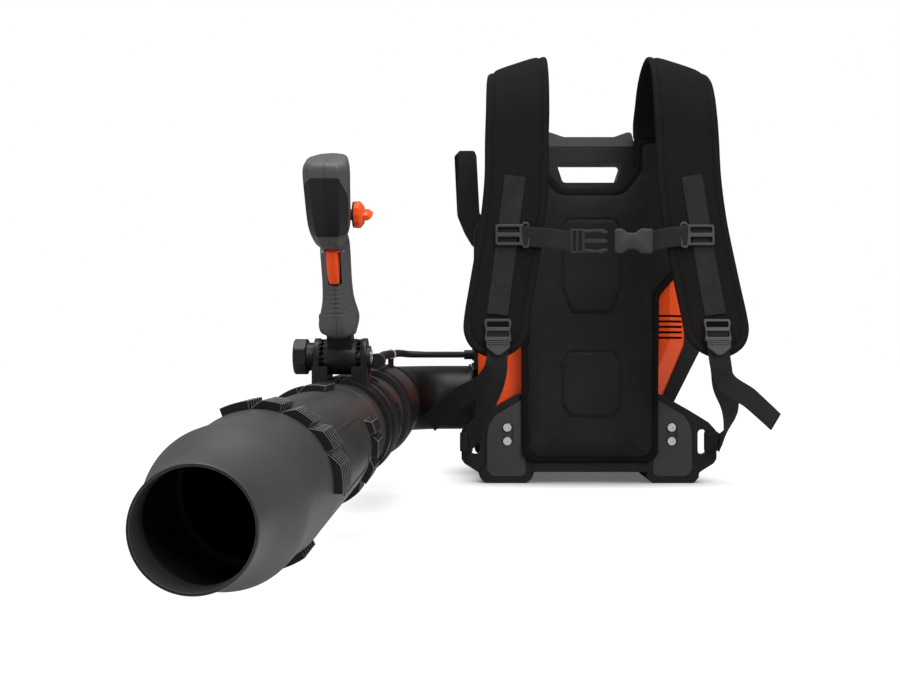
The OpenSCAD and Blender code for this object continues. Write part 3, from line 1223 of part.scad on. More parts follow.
place() back_frame();
place() base_frame();
place() leg_covers();
place() leg_bolts();
place() back_pad();
place() front_cover();
place() rear_cover();
place() intake_grille();
place() scroll_case();
place() outlet_flange();
place() motor_mount();
place() motor_stator();
place() motor_bearings();
place() controller();
place() battery_bay();
place() terminal_block();
place() storage_hook();
place() cover_screws();
place() conduit_gland();
place() left_shoulder_strap();
place() right_shoulder_strap();
place() sewn_webbing();
place() strap_sliders();
place() ladder_locks();
place() left_lower_webbing();
place() right_lower_webbing();
place() chest_webbing();
place() buckle_plug();
place() buckle_socket();
place() impeller();
place() motor_bell();
place() rotor_shaft();
place() battery();
place() battery_latch();
place() elbow_pipe();
place() rear_hose_clamp();
place() bellows();
place() cuff();
place() front_hose_clamp();
place() conduit_clip();
place() conduit();
place() blower_tube();
place() nozzle();
place() front_lugs();
place() rear_lugs();
place() swivel_collar();
place() clamp_bracket();
place() clamp_nut();
place() clamp_bolt();
place() clamp_knob();
place() tilt_barrel();
place() grip_left_half();
place() grip_right_half();
place() head_cover();
place() dial_seal();
place() grip_screws();
place() trigger_pin();
place() trigger();
place() speed_dial();
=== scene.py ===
import bmesh
import bpy
import numpy as np
from math import acos, atan2, cos, degrees, hypot, pi, radians, sin, sqrt, tan, tau
from mathutils import Matrix, Vector, noise


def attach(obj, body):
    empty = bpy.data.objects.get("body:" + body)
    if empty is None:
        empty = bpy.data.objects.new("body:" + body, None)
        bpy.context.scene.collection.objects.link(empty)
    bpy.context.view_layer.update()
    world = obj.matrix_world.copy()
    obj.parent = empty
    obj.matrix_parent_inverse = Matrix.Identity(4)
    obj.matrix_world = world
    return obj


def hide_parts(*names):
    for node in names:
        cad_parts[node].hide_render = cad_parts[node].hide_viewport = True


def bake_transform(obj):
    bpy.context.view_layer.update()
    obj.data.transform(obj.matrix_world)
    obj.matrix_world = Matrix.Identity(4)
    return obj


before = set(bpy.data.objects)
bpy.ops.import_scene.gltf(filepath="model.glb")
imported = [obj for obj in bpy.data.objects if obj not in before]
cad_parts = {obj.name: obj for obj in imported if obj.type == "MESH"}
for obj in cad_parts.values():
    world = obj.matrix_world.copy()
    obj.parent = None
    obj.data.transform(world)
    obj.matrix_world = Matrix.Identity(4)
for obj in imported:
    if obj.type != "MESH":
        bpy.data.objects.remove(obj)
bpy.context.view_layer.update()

# The pack frame, in millimetres: X from the pack's centre line, Y from the face behind the pad, Z from the floor
OX, OY = -48.1, -339.45
TUBE_X, TUBE_Z = -279.0, 110.0
TILT_S, TILT_H, LEAN = 430.0, 67.0, radians(25)
SIDES = (("left", -1), ("right", 1))


def P(x, y, z):
    return Vector(((x - OX) / 1000, (y - OY) / 1000, z / 1000))


def tube(s, a, r):
    """Point on a circle round the air tube, s forward along it, a clockwise from the top seen from the nozzle."""
    t = radians(a)
    return (TUBE_X + r * sin(t), -s, TUBE_Z + r * cos(t))


# ---------------------------------------------------------------- materials
def new_material(name):
    m = bpy.data.materials.new(name)
    m.use_nodes = True
    nt = m.node_tree
    nt.nodes.clear()
    out = nt.nodes.new("ShaderNodeOutputMaterial")
    bsdf = nt.nodes.new("ShaderNodeBsdfPrincipled")
    nt.links.new(bsdf.outputs[0], out.inputs[0])
    return m, nt, bsdf


def feed(nt, sockets, values):
    """Link or set each input socket."""
    for k, v in values.items():
        if hasattr(v, "is_output"):
            nt.links.new(v, sockets[k])
        else:
            sockets[k].default_value = v


def node(nt, kind, values=None, **props):
    n = nt.nodes.new("ShaderNode" + kind)
    for k, v in props.items():
        setattr(n, k, v)
    feed(nt, n.inputs, values or {})
    return n


def ramp(nt, fac, stops):
    r = node(nt, "ValToRGB", {0: fac})
    for e, (pos, colour) in zip(r.color_ramp.elements, stops):
        e.position = pos
        e.color = (*colour, 1)
    return r.outputs[0]


def calc(nt, operation, *args):
    return node(nt, "Math", dict(enumerate(args)), operation=operation).outputs[0]


def remap(nt, *args):
    return node(nt, "MapRange", dict(enumerate(args))).outputs[0]


def object_space(nt):
    return node(nt, "TexCoord").outputs["Object"]


def cloud(nt, co, scale, detail, rough=0.5):
    values = {"Vector": co, "Scale": scale, "Detail": detail, "Roughness": rough}
    return node(nt, "TexNoise", values).outputs["Fac"]


def dress(nt, b, colour, height, strength, depth, values):
    """Colour, bump and the other inputs of a shader."""
    bump = node(nt, "Bump", {"Height": height, "Strength": strength, "Distance": depth})
    feed(nt, b.inputs, {"Base Color": colour, "Normal": bump.outputs[0], **values})


def grey(v):
    return (v, v, v)


def moulded(name, colour, rough, grain, bump, vary=0.12, coat=0.0, spec=0.5):
    """Moulded plastic: fine spark texture in the bump, slow change of colour, roughness a little uneven."""
    m, nt, b = new_material(name)
    co = object_space(nt)
    slow = cloud(nt, co, 14, 4, 0.6)
    dark, light = [tuple(min(1, c * k) for c in colour) for k in (1 - vary, 1 + vary)]
    values = {"Roughness": remap(nt, slow, 0.3, 0.7, max(0.05, rough - 0.05), min(1, rough + 0.06)),
              "Specular IOR Level": spec}
    if coat:
        values.update({"Coat Weight": coat, "Coat Roughness": 0.12})
    dress(nt, b, ramp(nt, slow, [(0.3, dark), (0.7, light)]), cloud(nt, co, grain, 2), bump, 0.0004, values)
    return m


def metal(name, colour, rough):
    """Drawn or cast metal, its noise stretched along one axis."""
    m, nt, b = new_material(name)
    n = cloud(nt, node(nt, "Mapping", {"Vector": object_space(nt), "Scale": (1, 1, 6)}).outputs[0], 220, 5, 0.65)
    dark = tuple(c * 0.82 for c in colour)
    dress(nt, b, ramp(nt, n, [(0.3, dark), (0.7, colour)]), n, 0.06, 0.0003,
          {"Roughness": remap(nt, n, 0.3, 0.7, max(0.08, rough - 0.08), rough + 0.1), "Metallic": 1.0})
    return m


def woven(name, colour, period, depth, sheen=0.0, twill=False, colour2=None):
    """Cloth with a weave laid over it by the UV map in metres: plain, or with slanted twill ribs."""
    m, nt, b = new_material(name)
    sep = node(nt, "SeparateXYZ", {0: node(nt, "UVMap", uv_map="cloth").outputs[0]})
    u, v = sep.outputs[0], sep.outputs[1]

    def wave(a, stretch=1.0):
        return calc(nt, "SINE", calc(nt, "MULTIPLY", a, stretch * tau / period))

    if twill:
        h = calc(nt, "ADD", wave(calc(nt, "ADD", u, v)), wave(v, 1.6))
    else:
        h = calc(nt, "MULTIPLY", wave(u), wave(v))
    co = object_space(nt)
    f = remap(nt, h, -1.0, 1.0, 0.0, 1.0)
    mixed = calc(nt, "MULTIPLY_ADD", cloud(nt, co, 30, 4, 0.6), 0.5, calc(nt, "MULTIPLY", f, 0.6))
    light = colour2 or tuple(c * 1.6 for c in colour)
    dress(nt, b, ramp(nt, mixed, [(0.15, colour), (0.95, light)]),
          calc(nt, "MULTIPLY_ADD", cloud(nt, co, 2400, 2), 0.35, f), depth, 0.0003,
          {"Roughness": 0.85, "Sheen Weight": sheen, "Sheen Roughness": 0.5, "Specular IOR Level": 0.12})
    return m


def knit(name, colour, colour2, period, depth=0.5, sheen=0.0):
    """Cloth whose weave follows object space, for pieces without a UV map."""
    m, nt, b = new_material(name)
    co = object_space(nt)
    v = node(nt, "TexVoronoi", {"Vector": co, "Scale": 1 / period}, feature="F1").outputs["Distance"]
    f = calc(nt, "MULTIPLY_ADD", v, 0.5, cloud(nt, co, 18, 5, 0.6))
    dress(nt, b, ramp(nt, f, [(0.35, colour2), (1.0, colour)]), v, depth, -0.0003,
          {"Roughness": 0.9, "Sheen Weight": sheen, "Specular IOR Level": 0.12})
    return m


MAT = {
    "frame": moulded("frame_black", grey(0.0105), 0.45, 1100, 0.2, spec=0.22),
    "foot": moulded("foot_plate_grey", grey(0.04), 0.5, 1300, 0.3, spec=0.3),
    "orange": moulded("orange_gloss", (0.95, 0.085, 0.008), 0.3, 60, 0.02, vary=0.04, coat=0.15, spec=0.25),
    "black": moulded("black_plastic", grey(0.007), 0.4, 900, 0.15, spec=0.3),
    "tube": moulded("tube_plastic", grey(0.024), 0.42, 1400, 0.06, vary=0.06, spec=0.6),
    "nozzle": moulded("nozzle_plastic", grey(0.034), 0.46, 1400, 0.06, vary=0.06, spec=0.6),
    "rubber": moulded("lug_rubber", grey(0.006), 0.5, 1000, 0.2, spec=0.25),
    # Lighter grey for the lug bevels: a painted highlight on their edges
    "lug_edge_painted_highlight": moulded("lug_edge_painted_highlight", grey(0.13), 0.45, 1000, 0.1),
    "grip": moulded("grip_grey", grey(0.068), 0.5, 1100, 0.3, spec=0.35),
    "buckle": moulded("buckle_grey", grey(0.016), 0.42, 900, 0.15, spec=0.35),
    "buckle_light": moulded("buckle_light_grey", grey(0.028), 0.45, 900, 0.15, spec=0.25),
    "clip": moulded("clip_clear", grey(0.42), 0.25, 300, 0.05),
    "conduit": moulded("conduit_black", (0.011, 0.008, 0.0075), 0.45, 700, 0.15),
    "steel": metal("bolt_zinc", grey(0.75), 0.25),
    "clamp": metal("clamp_steel", grey(0.5), 0.3),
    "copper": metal("winding_copper", (0.72, 0.35, 0.17), 0.35),
    "alu": metal("cast_alu", grey(0.55), 0.42),
    "screw": metal("screw_black_oxide", grey(0.08), 0.35),
    "pad": knit("pad_cloth", grey(0.019), grey(0.012), 0.0014, sheen=0.02),
    "pad_rim": knit("pad_binding", (0.009, 0.0078, 0.0068), grey(0.0045), 0.0011),
    "strap_back": knit("strap_spacer_mesh", grey(0.0065), grey(0.003), 0.0022, depth=0.7),
    "strap": woven("strap_cloth", (0.005, 0.0042, 0.0034), 0.0009, 0.3),
    "strap_edge": woven("strap_binding", (0.0056, 0.0046, 0.0038), 0.0012, 0.4),
    "thread": woven("seam_thread", grey(0.006), 0.0006, 0.2),
    "webbing": woven("webbing_weave", grey(0.006), 0.0021, 1.0, sheen=0.03, twill=True, colour2=grey(0.034)),
}


def add_bevel(ob, width, angle=32):
    b = ob.modifiers.new("bevel", "BEVEL")
    b.width, b.segments = width / 1000, 2
    b.limit_method, b.angle_limit = "ANGLE", radians(angle)
    b.use_clamp_overlap = True


# The solids shown as they are, by material, each with the width of its bevel
KEPT = {
    "frame": {"back_frame": 1.6, "base_frame": 1.6, "rear_cover": 1.2, "intake_grille": 0.3, "battery_bay": 1.0,
              "storage_hook": 1.0},
    "foot": {"leg_covers": 1.0},
    "orange": {"front_cover": 1.2, "battery_latch": 0.8},
    "black": {"scroll_case": 0, "outlet_flange": 0.6, "conduit_gland": 0, "elbow_pipe": 0, "clamp_bracket": 0.5,
              "clamp_knob": 0.5, "tilt_barrel": 0.3},
    "grip": {"impeller": 0, "battery": 1.0},
    "alu": {"motor_mount": 0, "motor_bell": 0, "controller": 0},
    "copper": {"motor_stator": 0, "terminal_block": 0},
    "steel": {"leg_bolts": 0.5, "cover_screws": 0.3, "clamp_nut": 0.3, "motor_bearings": 0, "rotor_shaft": 0,
              "clamp_bolt": 0, "trigger_pin": 0},
    "clamp": {"rear_hose_clamp": 0.2, "front_hose_clamp": 0.2},
}
for look, group in KEPT.items():
    for name, width in group.items():
        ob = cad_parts[name]
        ob.data.materials.clear()
        ob.data.materials.append(MAT[look])
        ob.modifiers.new("weld", "WELD").merge_threshold = 0.00002
        if width:
            add_bevel(ob, width)


# ---------------------------------------------------------------- shape tools
class Line:
    """Smooth curve through points; its parameter is close to the length along it."""

    def __init__(self, pts, ts=None):
        self.p = [Vector(p) for p in pts]
        if ts is None:
            ts = [0.0]
            for a, b in zip(self.p, self.p[1:]):
                ts.append(ts[-1] + max(1e-9, (b - a).length))
        self.t = t = list(ts)
        n = len(self.p)
        d = [(self.p[i + 1] - self.p[i]) / (t[i + 1] - t[i]) for i in range(n - 1)]
        self.m = [d[0]] + [None] * (n - 2) + [d[-1]]
        for i in range(1, n - 1):
            h0, h1 = t[i] - t[i - 1], t[i + 1] - t[i]
            self.m[i] = (d[i - 1] * h1 + d[i] * h0) / (h0 + h1)
        self.end = t[-1]

    def at(self, t):
        k = 0
        while k < len(self.t) - 2 and t > self.t[k + 1]:
            k += 1
        h = self.t[k + 1] - self.t[k]
        x = (t - self.t[k]) / h
        if x < 0 or x > 1:
            i = k if x < 0 else k + 1
            return self.p[i] + self.m[i] * (t - self.t[i])
        a, b = 2 * x**3 - 3 * x**2 + 1, x**3 - 2 * x**2 + x
        return self.p[k] * a + self.m[k] * (b * h) + self.p[k + 1] * (1 - a) + self.m[k + 1] * ((x**3 - x**2) * h)

    def along(self, t):
        return (self.at(t + 0.5) - self.at(t - 0.5)).normalized()

    def length(self, n=400):
        q = [self.at(self.end * i / n) for i in range(n + 1)]
        return sum((b - a).length for a, b in zip(q, q[1:]))


def circle(r, n, x=0.0, y=0.0, start=0.0):
    turns = [radians(start + 360 * j / n) for j in range(n)]
    return [(x + r * cos(t), y + r * sin(t)) for t in turns]


def ring_x(x, r, n, y, z, start=0.0):
    return [(x, p, q) for p, q in circle(r, n, y, z, start)]


def ring_y(y, r, n, x, z):
    return [(p, y, q) for p, q in circle(r, n, x, z)]


def rounded(pts, r, n=6):
    """Outline with its corners turned into arcs of n steps."""
    out, k = [], len(pts)
    for i in range(k):
        a, b, c = Vector(pts[i - 1]), Vector(pts[i]), Vector(pts[(i + 1) % k])
        ri = r[i] if hasattr(r, "__len__") else r
        if ri <= 0:
            out.append((b.x, b.y))
            continue
        u, v = (a - b).normalized(), (c - b).normalized()
        half = acos(max(-0.9999, min(0.9999, u.dot(v)))) / 2
        reach = min(ri / tan(half), 0.48 * min((a - b).length, (c - b).length))
        rr = reach * tan(half)
        cen = b + (u + v).normalized() * (rr / sin(half))
        p, q = b + u * reach - cen, b + v * reach - cen
        f = atan2(p.y, p.x)
        turn = (atan2(q.y, q.x) - f + pi) % tau - pi
        out += [(cen.x + rr * cos(f + turn * j / n), cen.y + rr * sin(f + turn * j / n)) for j in range(n + 1)]
    return out


def inset(pts, d):
    """Outline moved inwards by d; it runs anticlockwise."""
    out, k = [], len(pts)
    for i in range(k):
        a, b, c = Vector(pts[i - 1]), Vector(pts[i]), Vector(pts[(i + 1) % k])
        u, v = (b - a).normalized(), (c - b).normalized()
        nu, nv = Vector((-u.y, u.x)), Vector((-v.y, v.x))
        m = (nu + nv).normalized()
        q = b + m * (d / m.dot(nu))
        out.append((q.x, q.y))
    return out


def rect(w, h, x=0.0, y=0.0):
    return [(x + w / 2, y - h / 2), (x + w / 2, y + h / 2), (x - w / 2, y + h / 2), (x - w / 2, y - h / 2)]


def skin(rows, loop=False):
    """Faces over closed rows of equal length, capped unless the last row joins the first."""
    n, m = len(rows[0]), len(rows)
    f = []
    for i in range(m if loop else m - 1):
        a, b = i * n, ((i + 1) % m) * n
        f += [(a + j, a + (j + 1) % n, b + (j + 1) % n, b + j) for j in range(n)]
    if not loop:
        f += [tuple(range(n - 1, -1, -1)), tuple((m - 1) * n + j for j in range(n))]
    return [p for r in rows for p in r], f


def prism(outline, a, b):
    """Outline in X and Z extruded between two places on Y."""
    return skin([[(x, y, z) for x, z in outline] for y in (a, b)])


def join_vf(parts):
    v, f = [], []
    for a, b in parts:
        f += [tuple(k + len(v) for k in q) for q in b]
        v += list(a)
    return v, f


def finish_mesh(ob, body, swap=None, slot=None, bevel=0.0, angle=32):
    if bevel:
        add_bevel(ob, bevel, angle)
    if body:
        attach(ob, body)
    if swap:
        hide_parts(swap)
    return ob


def put(name, data):
    ob = bpy.data.objects.new(name, data)
    bpy.context.scene.collection.objects.link(ob)
    return ob


def add(name, me, mats):
    for m in mats if isinstance(mats, list) else [mats]:
        me.materials.append(MAT[m])
    return put(name, me)


def new_mesh(name, vf, place=P, uv=None, pick=None, merge=0.0):
    """Mesh from points in millimetres and faces, with a UV map in metres and a material for each face."""
    bm = bmesh.new()
    lay = bm.verts.layers.float_vector.new("at") if uv else None
    vs = [bm.verts.new(place(*p)) for p in vf[0]]
    if uv:
        for v, c in zip(vs, uv):
            v[lay] = (c[0], c[1], 0)
    for i, f in enumerate(vf[1]):
        face = bm.faces.new([vs[k] for k in f])
        face.smooth = True
        if pick:
            face.material_index = pick[i]
    if merge:
        bmesh.ops.remove_doubles(bm, verts=bm.verts, dist=merge / 1000)
    bmesh.ops.recalc_face_normals(bm, faces=bm.faces)
    if uv:
        ul = bm.loops.layers.uv.new("cloth")
        for f in bm.faces:
            for l in f.loops:
                l[ul].uv = l.vert[lay][:2]
        bm.verts.layers.float_vector.remove(lay)
    me = bpy.data.meshes.new(name)
    bm.to_mesh(me)
    bm.free()
    return me


def solid(name, vf, place=P, mat="black"):
    """Loose solid, for cutting or for work before it is finished."""
    return add(name, new_mesh(name, vf, place), mat)


def piece(name, vf, mats, body, sharp=32, place=P, uv=None, pick=None, merge=0.0, **finish):
    """Finished piece that rides on a body."""
    me = new_mesh(name, vf, place, uv, pick, merge)
    me.set_sharp_from_angle(angle=radians(sharp))
    return finish_mesh(add(name, me, mats), body, **finish)


def smooth(me):
    me.shade_smooth()
    me.set_sharp_from_angle(angle=radians(32))


def evaluated(ob):
    bpy.context.view_layer.update()
    return bpy.data.meshes.new_from_object(ob.evaluated_get(bpy.context.evaluated_depsgraph_get()))


def bake(ob):
    """Apply every modifier."""
    me, old = evaluated(ob), ob.data
    ob.modifiers.clear()
    ob.data = me
    bpy.data.meshes.remove(old)


def cut(ob, cutters, op="DIFFERENCE"):
    """Boolean of an object with others, applied, and the cutters removed."""
    for c in cutters:
        b = ob.modifiers.new("cut", "BOOLEAN")
        b.object, b.operation, b.solver = c, op, "EXACT"
    bake(ob)
    for c in cutters:
        bpy.data.objects.remove(c)
    smooth(ob.data)


def plate(name, outlines, t, matrix, bevel, depth=0.0, mat="buckle", swap=None):
    """Harness fitting: a flat plate with holes and rounded edges, the first outline the outside."""
    cu = bpy.data.curves.new(name, "CURVE")
    cu.dimensions = "2D"
    cu.fill_mode = "BOTH"
    cu.extrude = (t / 2 - bevel) / 1000
    cu.bevel_depth = bevel / 1000
    cu.bevel_resolution = 2
    cu.offset = -bevel / 1000
    for o in outlines:
        s = cu.splines.new("POLY")
        s.points.add(len(o) - 1)
        for q, p in zip(s.points, o):
            q.co = (p[0] / 1000, p[1] / 1000, 0, 1)
        s.use_cyclic_u = True
    tmp = put(name, cu)
    me = evaluated(tmp)
    bpy.data.objects.remove(tmp)
    bpy.data.curves.remove(cu)
    me.materials.clear()
    me.transform(Matrix.Translation((0, 0, depth / 1000)))
    me.transform(matrix)
    if matrix.determinant() < 0:
        me.flip_normals()
    me.name = name
    smooth(me)
    return finish_mesh(add(name, me, mat), "pack", swap=swap, slot="grey_plastic")


def frame_at(origin, x, y):
    """Matrix of a local frame: origin in millimetres, x and y directions."""
    x = Vector(x).normalized()
    z = x.cross(Vector(y)).normalized()
    m = Matrix((x, z.cross(x), z)).transposed().to_4x4()
    m.translation = P(*origin)
    return m


def stitches(name, runs, pitch=4.2, size=2.8, thick=0.5):
    """Rows of thread stitches; each run is a list of (point, normal) along a seam."""
    v, f = [], []
    for run in runs:
        pts = [Vector(p) for p, _ in run]
        nor = [Vector(n).normalized() for _, n in run]
        d = [0.0]
        for a, b in zip(pts, pts[1:]):
            d.append(d[-1] + (b - a).length)

        def where(t):
            k = 0
            while k < len(d) - 2 and t > d[k + 1]:
                k += 1
            x = (t - d[k]) / max(1e-9, d[k + 1] - d[k])
            return pts[k].lerp(pts[k + 1], x), nor[k].lerp(nor[k + 1], x).normalized()

        for i in range(int((d[-1] - size) / pitch)):
            t = i * pitch + pitch / 2
            (a, n), (b, _) = where(t), where(t + size)
            w = (b - a).normalized().cross(n)
            base = len(v)
            for q, lift, k in ((0, -0.15, 0.5), (0.18, 0.32, 1), (0.82, 0.32, 1), (1, -0.15, 0.5)):
                c = a.lerp(b, q) + n * (thick * lift)
                v += [c + (w * x + n * y) * (thick / 2 * k) for x, y in ((1, 0), (0.5, 0.87), (-0.5, 0.87), (-1, 0))]
            for r in range(3):
                for c in range(3):
                    s = base + r * 4 + c
                    f.append((s, s + 1, s + 5, s + 4))
    return piece(name, (v, f), "thread", "pack", sharp=80)


# ---------------------------------------------------------------- shoulder straps
# Stations of the right strap's centre line: place, roll in degrees
STRAP = [
    ((131, -178, 172), 0), ((131, -176, 180), 0), ((131, -172, 192), 0), ((130, -166, 211), 0),
    ((124, -157, 250), 0), ((118, -151, 285), 0), ((110, -144, 335), 2), ((105, -138, 386), 4),
    ((104, -130, 440), 8), ((103, -126, 470), 12), ((102.5, -117, 499), 15), ((102, -103, 522), 17),
    ((101.5, -85, 536), 18), ((101, -65, 542), 18), ((100, -44, 537), 17), ((99, -26, 523), 14),
    ((98, -12, 500), 7), ((97, -5, 486), 0), ((97, -5, 465), 0),
]
STRAP_R = 39.0
# Distance from the edge and half thickness: bound edge, stitched groove, foam body
STRAP_D = [(0, 0), (0.5, 1.5), (1.5, 2.5), (3, 3.1), (5.4, 3.4), (7.0, 3.2), (7.9, 2.6), (8.7, 2.8), (9.8, 3.9),
           (12, 4.8), (15, 5.4), (20, 5.8), (28, 6.0), (39, 6.0)]
SEAM_D, SEAM_H, BINDING = 7.9, 2.7, 8.0
strap_path = Line([p for p, _ in STRAP])
strap_roll = Line([(r, 0) for _, r in STRAP], strap_path.t)


def strap_frame(v):
    """Centre, width direction and outward normal of the right strap, v along it from its lower end."""
    t = strap_path.along(v)
    r = radians(strap_roll.at(v).x)
    w = Vector((cos(r), 0, -sin(r)))
    w = (w - t * w.dot(t)).normalized()
    return strap_path.at(v), w, -t.cross(w)


def puff(q, s):
    """Slow unevenness of the foam."""
    broad = noise.noise(Vector((q.x * s, q.y, q.z)) * 0.016)
    return broad * 0.5 + noise.noise(Vector((q.x * s, q.y, q.z + 90)) * 0.05) * 0.22


def make_strap(side, s):
    straight = [STRAP_R + (strap_path.end - STRAP_R) * i / 118 for i in range(119)]
    end_turn = [pi * k / 28 for k in range(1, 28)]

    def outline(d):
        """The edge moved inwards by d: down one side, round the lower end, up the other."""
        r = STRAP_R - d
        return ([(-r, v) for v in reversed(straight)] + [(-r * cos(t), STRAP_R - r * sin(t)) for t in end_turn]
                + [(r, v) for v in straight])

    levels = STRAP_D[::-1]
    rows = [outline(d) for d, _ in levels]
    m, n = len(rows), len(rows[0])
    verts, uvs, faces, pick = [], [], [], []
    for sign in (1, -1):
        for row, (d, h) in zip(rows, levels):
            for w, v in row:
                c, a, nn = strap_frame(v)
                q = c + a * w
                q = q + nn * (sign * h + puff(q, s) * min(1.0, d / 14))
                verts.append((q.x * s, q.y, q.z))
                uvs.append((w / 1000, v / 1000))
    for k in range(2):
        for i in range(m - 1):
            for j in range(n - 1):
                a = k * m * n + i * n + j
                faces.append((a, a + 1, a + n + 1, a + n))
                pick.append(1 if levels[i + 1][0] < BINDING else 2 * k)
    for j in (0, n - 1):
        for i in range(m - 1):
            a, b = i * n + j, (m + i) * n + j
            faces.append((a, a + n, b + n, b))
            pick.append(0)
    ob = piece(side + "_padded_strap", (verts, faces), ["strap", "strap_edge", "strap_back"], "pack", uv=uvs,
               pick=pick, merge=0.02, sharp=75, swap=side + "_shoulder_strap", slot="strap_fabric")
    # Stitching along the bound edge, on both faces
    runs = []
    for sign in (1, -1):
        run = []
        for w, v in outline(SEAM_D)[2:-2]:
            c, a, nn = strap_frame(v)
            q = c + a * w + nn * (sign * SEAM_H)
            run.append(((q.x * s, q.y, q.z), (nn.x * sign * s, nn.y * sign, nn.z * sign)))
        runs.append(run)
    stitches(side + "_strap_stitches", runs)


make_strap("right", 1)
make_strap("left", -1)


# ---------------------------------------------------------------- back pad
def both_sides(right, radii):
    return right + [(-x, z) for x, z in reversed(right)], radii + radii[::-1]


PAD, PAD_R = both_sides([(95.5, 24), (95.5, 252), (134, 296), (134, 470), (57, 470), (57, 424), (38, 400)],
                        [24, 18, 20, 3, 3, 18, 18])
PANEL, PANEL_R = inset(PAD, 13), both_sides([], [16, 24, 14, 8, 8, 26, 26])[1]
BLOCKS = [
    ([(26, 230), (39, 262), (39, 340), (32, 354), (-32, 354), (-39, 340), (-39, 262), (-26, 230)],
     [5, 8, 8, 9, 9, 8, 8, 5]),
    ([(28, 91), (39, 106), (39, 160), (30, 177), (-30, 177), (-39, 160), (-39, 106), (-28, 91)],
     [6, 8, 8, 8, 8, 8, 8, 6]),
]
PACK_ZERO = np.array([OX, OY, 0])


def distance_to(pts, poly):
    """Signed distance of points to a closed outline, positive inside."""
    p = np.asarray(poly, float)
    x = np.asarray(pts, float)
    best = np.full(len(x), 1e9)
    inside = np.zeros(len(x), bool)
    for a, b in zip(p, np.roll(p, -1, axis=0)):
        e = b - a
        t = np.clip(((x - a) @ e) / max(1e-12, e @ e), 0, 1)
        best = np.minimum(best, np.hypot(*(x - a - t[:, None] * e).T))
        hit = (a[1] > x[:, 1]) != (b[1] > x[:, 1])
        inside ^= hit & (x[:, 0] < a[0] + (x[:, 1] - a[1]) * e[0] / (e[1] if abs(e[1]) > 1e-12 else 1e-12))
    return np.where(inside, best, -best)


def coords(items, what):
    """Points of a mesh's vertices or faces, in metres."""
    c = np.empty(len(items) * 3)
    items.foreach_get(what, c)
    return c.reshape(-1, 3)


def swell(ob, voxel, pressure, cap, hold):
    """Remesh, then let cloth under pressure swell the piece; no point moves further than cap."""
    r = ob.modifiers.new("remesh", "REMESH")
    r.mode = "VOXEL"
    r.voxel_size = voxel
    bake(ob)
    me = ob.data
    rest = coords(me.vertices, "co")
    g = ob.vertex_groups.new(name="held")
    g.add([int(i) for i in np.nonzero(hold(rest))[0]], 1.0, "REPLACE")
    c = ob.modifiers.new("cloth", "CLOTH")
    st = c.settings
    st.quality = 5
    st.mass = 0.3
    st.tension_stiffness = 12
    st.compression_stiffness = 12
    st.bending_stiffness = 0.6
    st.use_pressure = True
    st.uniform_pressure_force = pressure
    st.vertex_group_mass = "held"
    st.effector_weights.gravity = 0
    c.collision_settings.use_self_collision = False
    sc = bpy.context.scene
    for k in range(1, 21):
        sc.frame_set(k)
    out = evaluated(ob)
    moved = coords(out.vertices, "co") - rest
    bpy.data.meshes.remove(out)
    sc.frame_set(1)
    ob.modifiers.clear()
    far = np.linalg.norm(moved, axis=1)
    moved *= (np.minimum(far, cap) / np.maximum(far, 1e-9))[:, None]
    me.vertices.foreach_set("co", (rest + moved).ravel())
    me.update()


def pad_layer(outline, radii, least, levels):
    """One layer of the pad: at each level its outline moved inwards, with no corner radius under least."""
    return skin([[(x, y, z) for x, z in rounded(inset(outline, d), [max(least, r - d) for r in radii])]
                 for y, d in levels])


pad_parts = [
    pad_layer(PAD, PAD_R, 2, ((-8.4, 1.4), (-0.6, 1.4))),
    pad_layer(PANEL, PANEL_R, 6, ((-7, 1.0), (-8.4, 1.0), (-11, 2.6), (-12.9, 5.0), (-13.9, 8.5), (-14.4, 13))),
] + [pad_layer(pts, rr, 4, ((-12, 0.6), (-15.4, 0.8), (-17.4, 2.2), (-18.2, 4.2), (-18.5, 7))) for pts, rr in BLOCKS]
pad = solid("soft_back_pad", join_vf(pad_parts), mat="pad")
swell(pad, 0.004, 4.0, 0.0035, lambda c: c[:, 1] * 1000 + OY > -1.6)
s = pad.modifiers.new("subdivision", "SUBSURF")
s.levels = s.render_levels = 1
bake(pad)
me = pad.data
mm = coords(me.vertices, "co") * 1000 + PACK_ZERO
xz = mm[:, [0, 2]]
panel_edge = rounded(PANEL, PANEL_R)
d_panel = distance_to(xz, panel_edge)
face = np.clip((-mm[:, 1] - 4) / 4, 0, 1)
# The flat of the rim, and the seams round the panel and the blocks
dy = 2.4 * np.exp(-(((d_panel + 0.4) / 2.1) ** 2)) * face
for pts, rr in BLOCKS:
    dy += 3.0 * np.exp(-((distance_to(xz, rounded(pts, rr)) / 2.0) ** 2)) * face
uneven = [noise.noise(Vector((x * 0.018, z * 0.018, 3.1))) * 0.7
          + noise.noise(Vector((x * 0.06, z * 0.06, 7.7))) * 0.25 for x, z in xz]
dy += np.array(uneven) * face * np.clip(d_panel / 10, 0.15, 1)
# Keep inside the space of the solid, and flat on the frame
mm[:, 1] = np.clip(mm[:, 1] + dy, -20.6, -0.2)
me.vertices.foreach_set("co", ((mm - PACK_ZERO) / 1000).ravel())
me.materials.append(MAT["pad_rim"])
centre = coords(me.polygons, "center") * 1000 + PACK_ZERO
me.polygons.foreach_set("material_index", (distance_to(centre[:, [0, 2]], panel_edge) < 0).astype(np.int32))
me.shade_smooth()
me.update()
finish_mesh(pad, "pack", swap="back_pad", slot="strap_fabric")

# ---------------------------------------------------------------- webbing
WEB_T = 1.4
LOCK_X, LOCK_Z, CHEST_X, CHEST_Z = 128.5, 201, 110, 318
LOCK_LIFT, SLIDER_LIFT, BUCKLE_T = 2 * WEB_T + 1.3, WEB_T + 0.3, 4.5


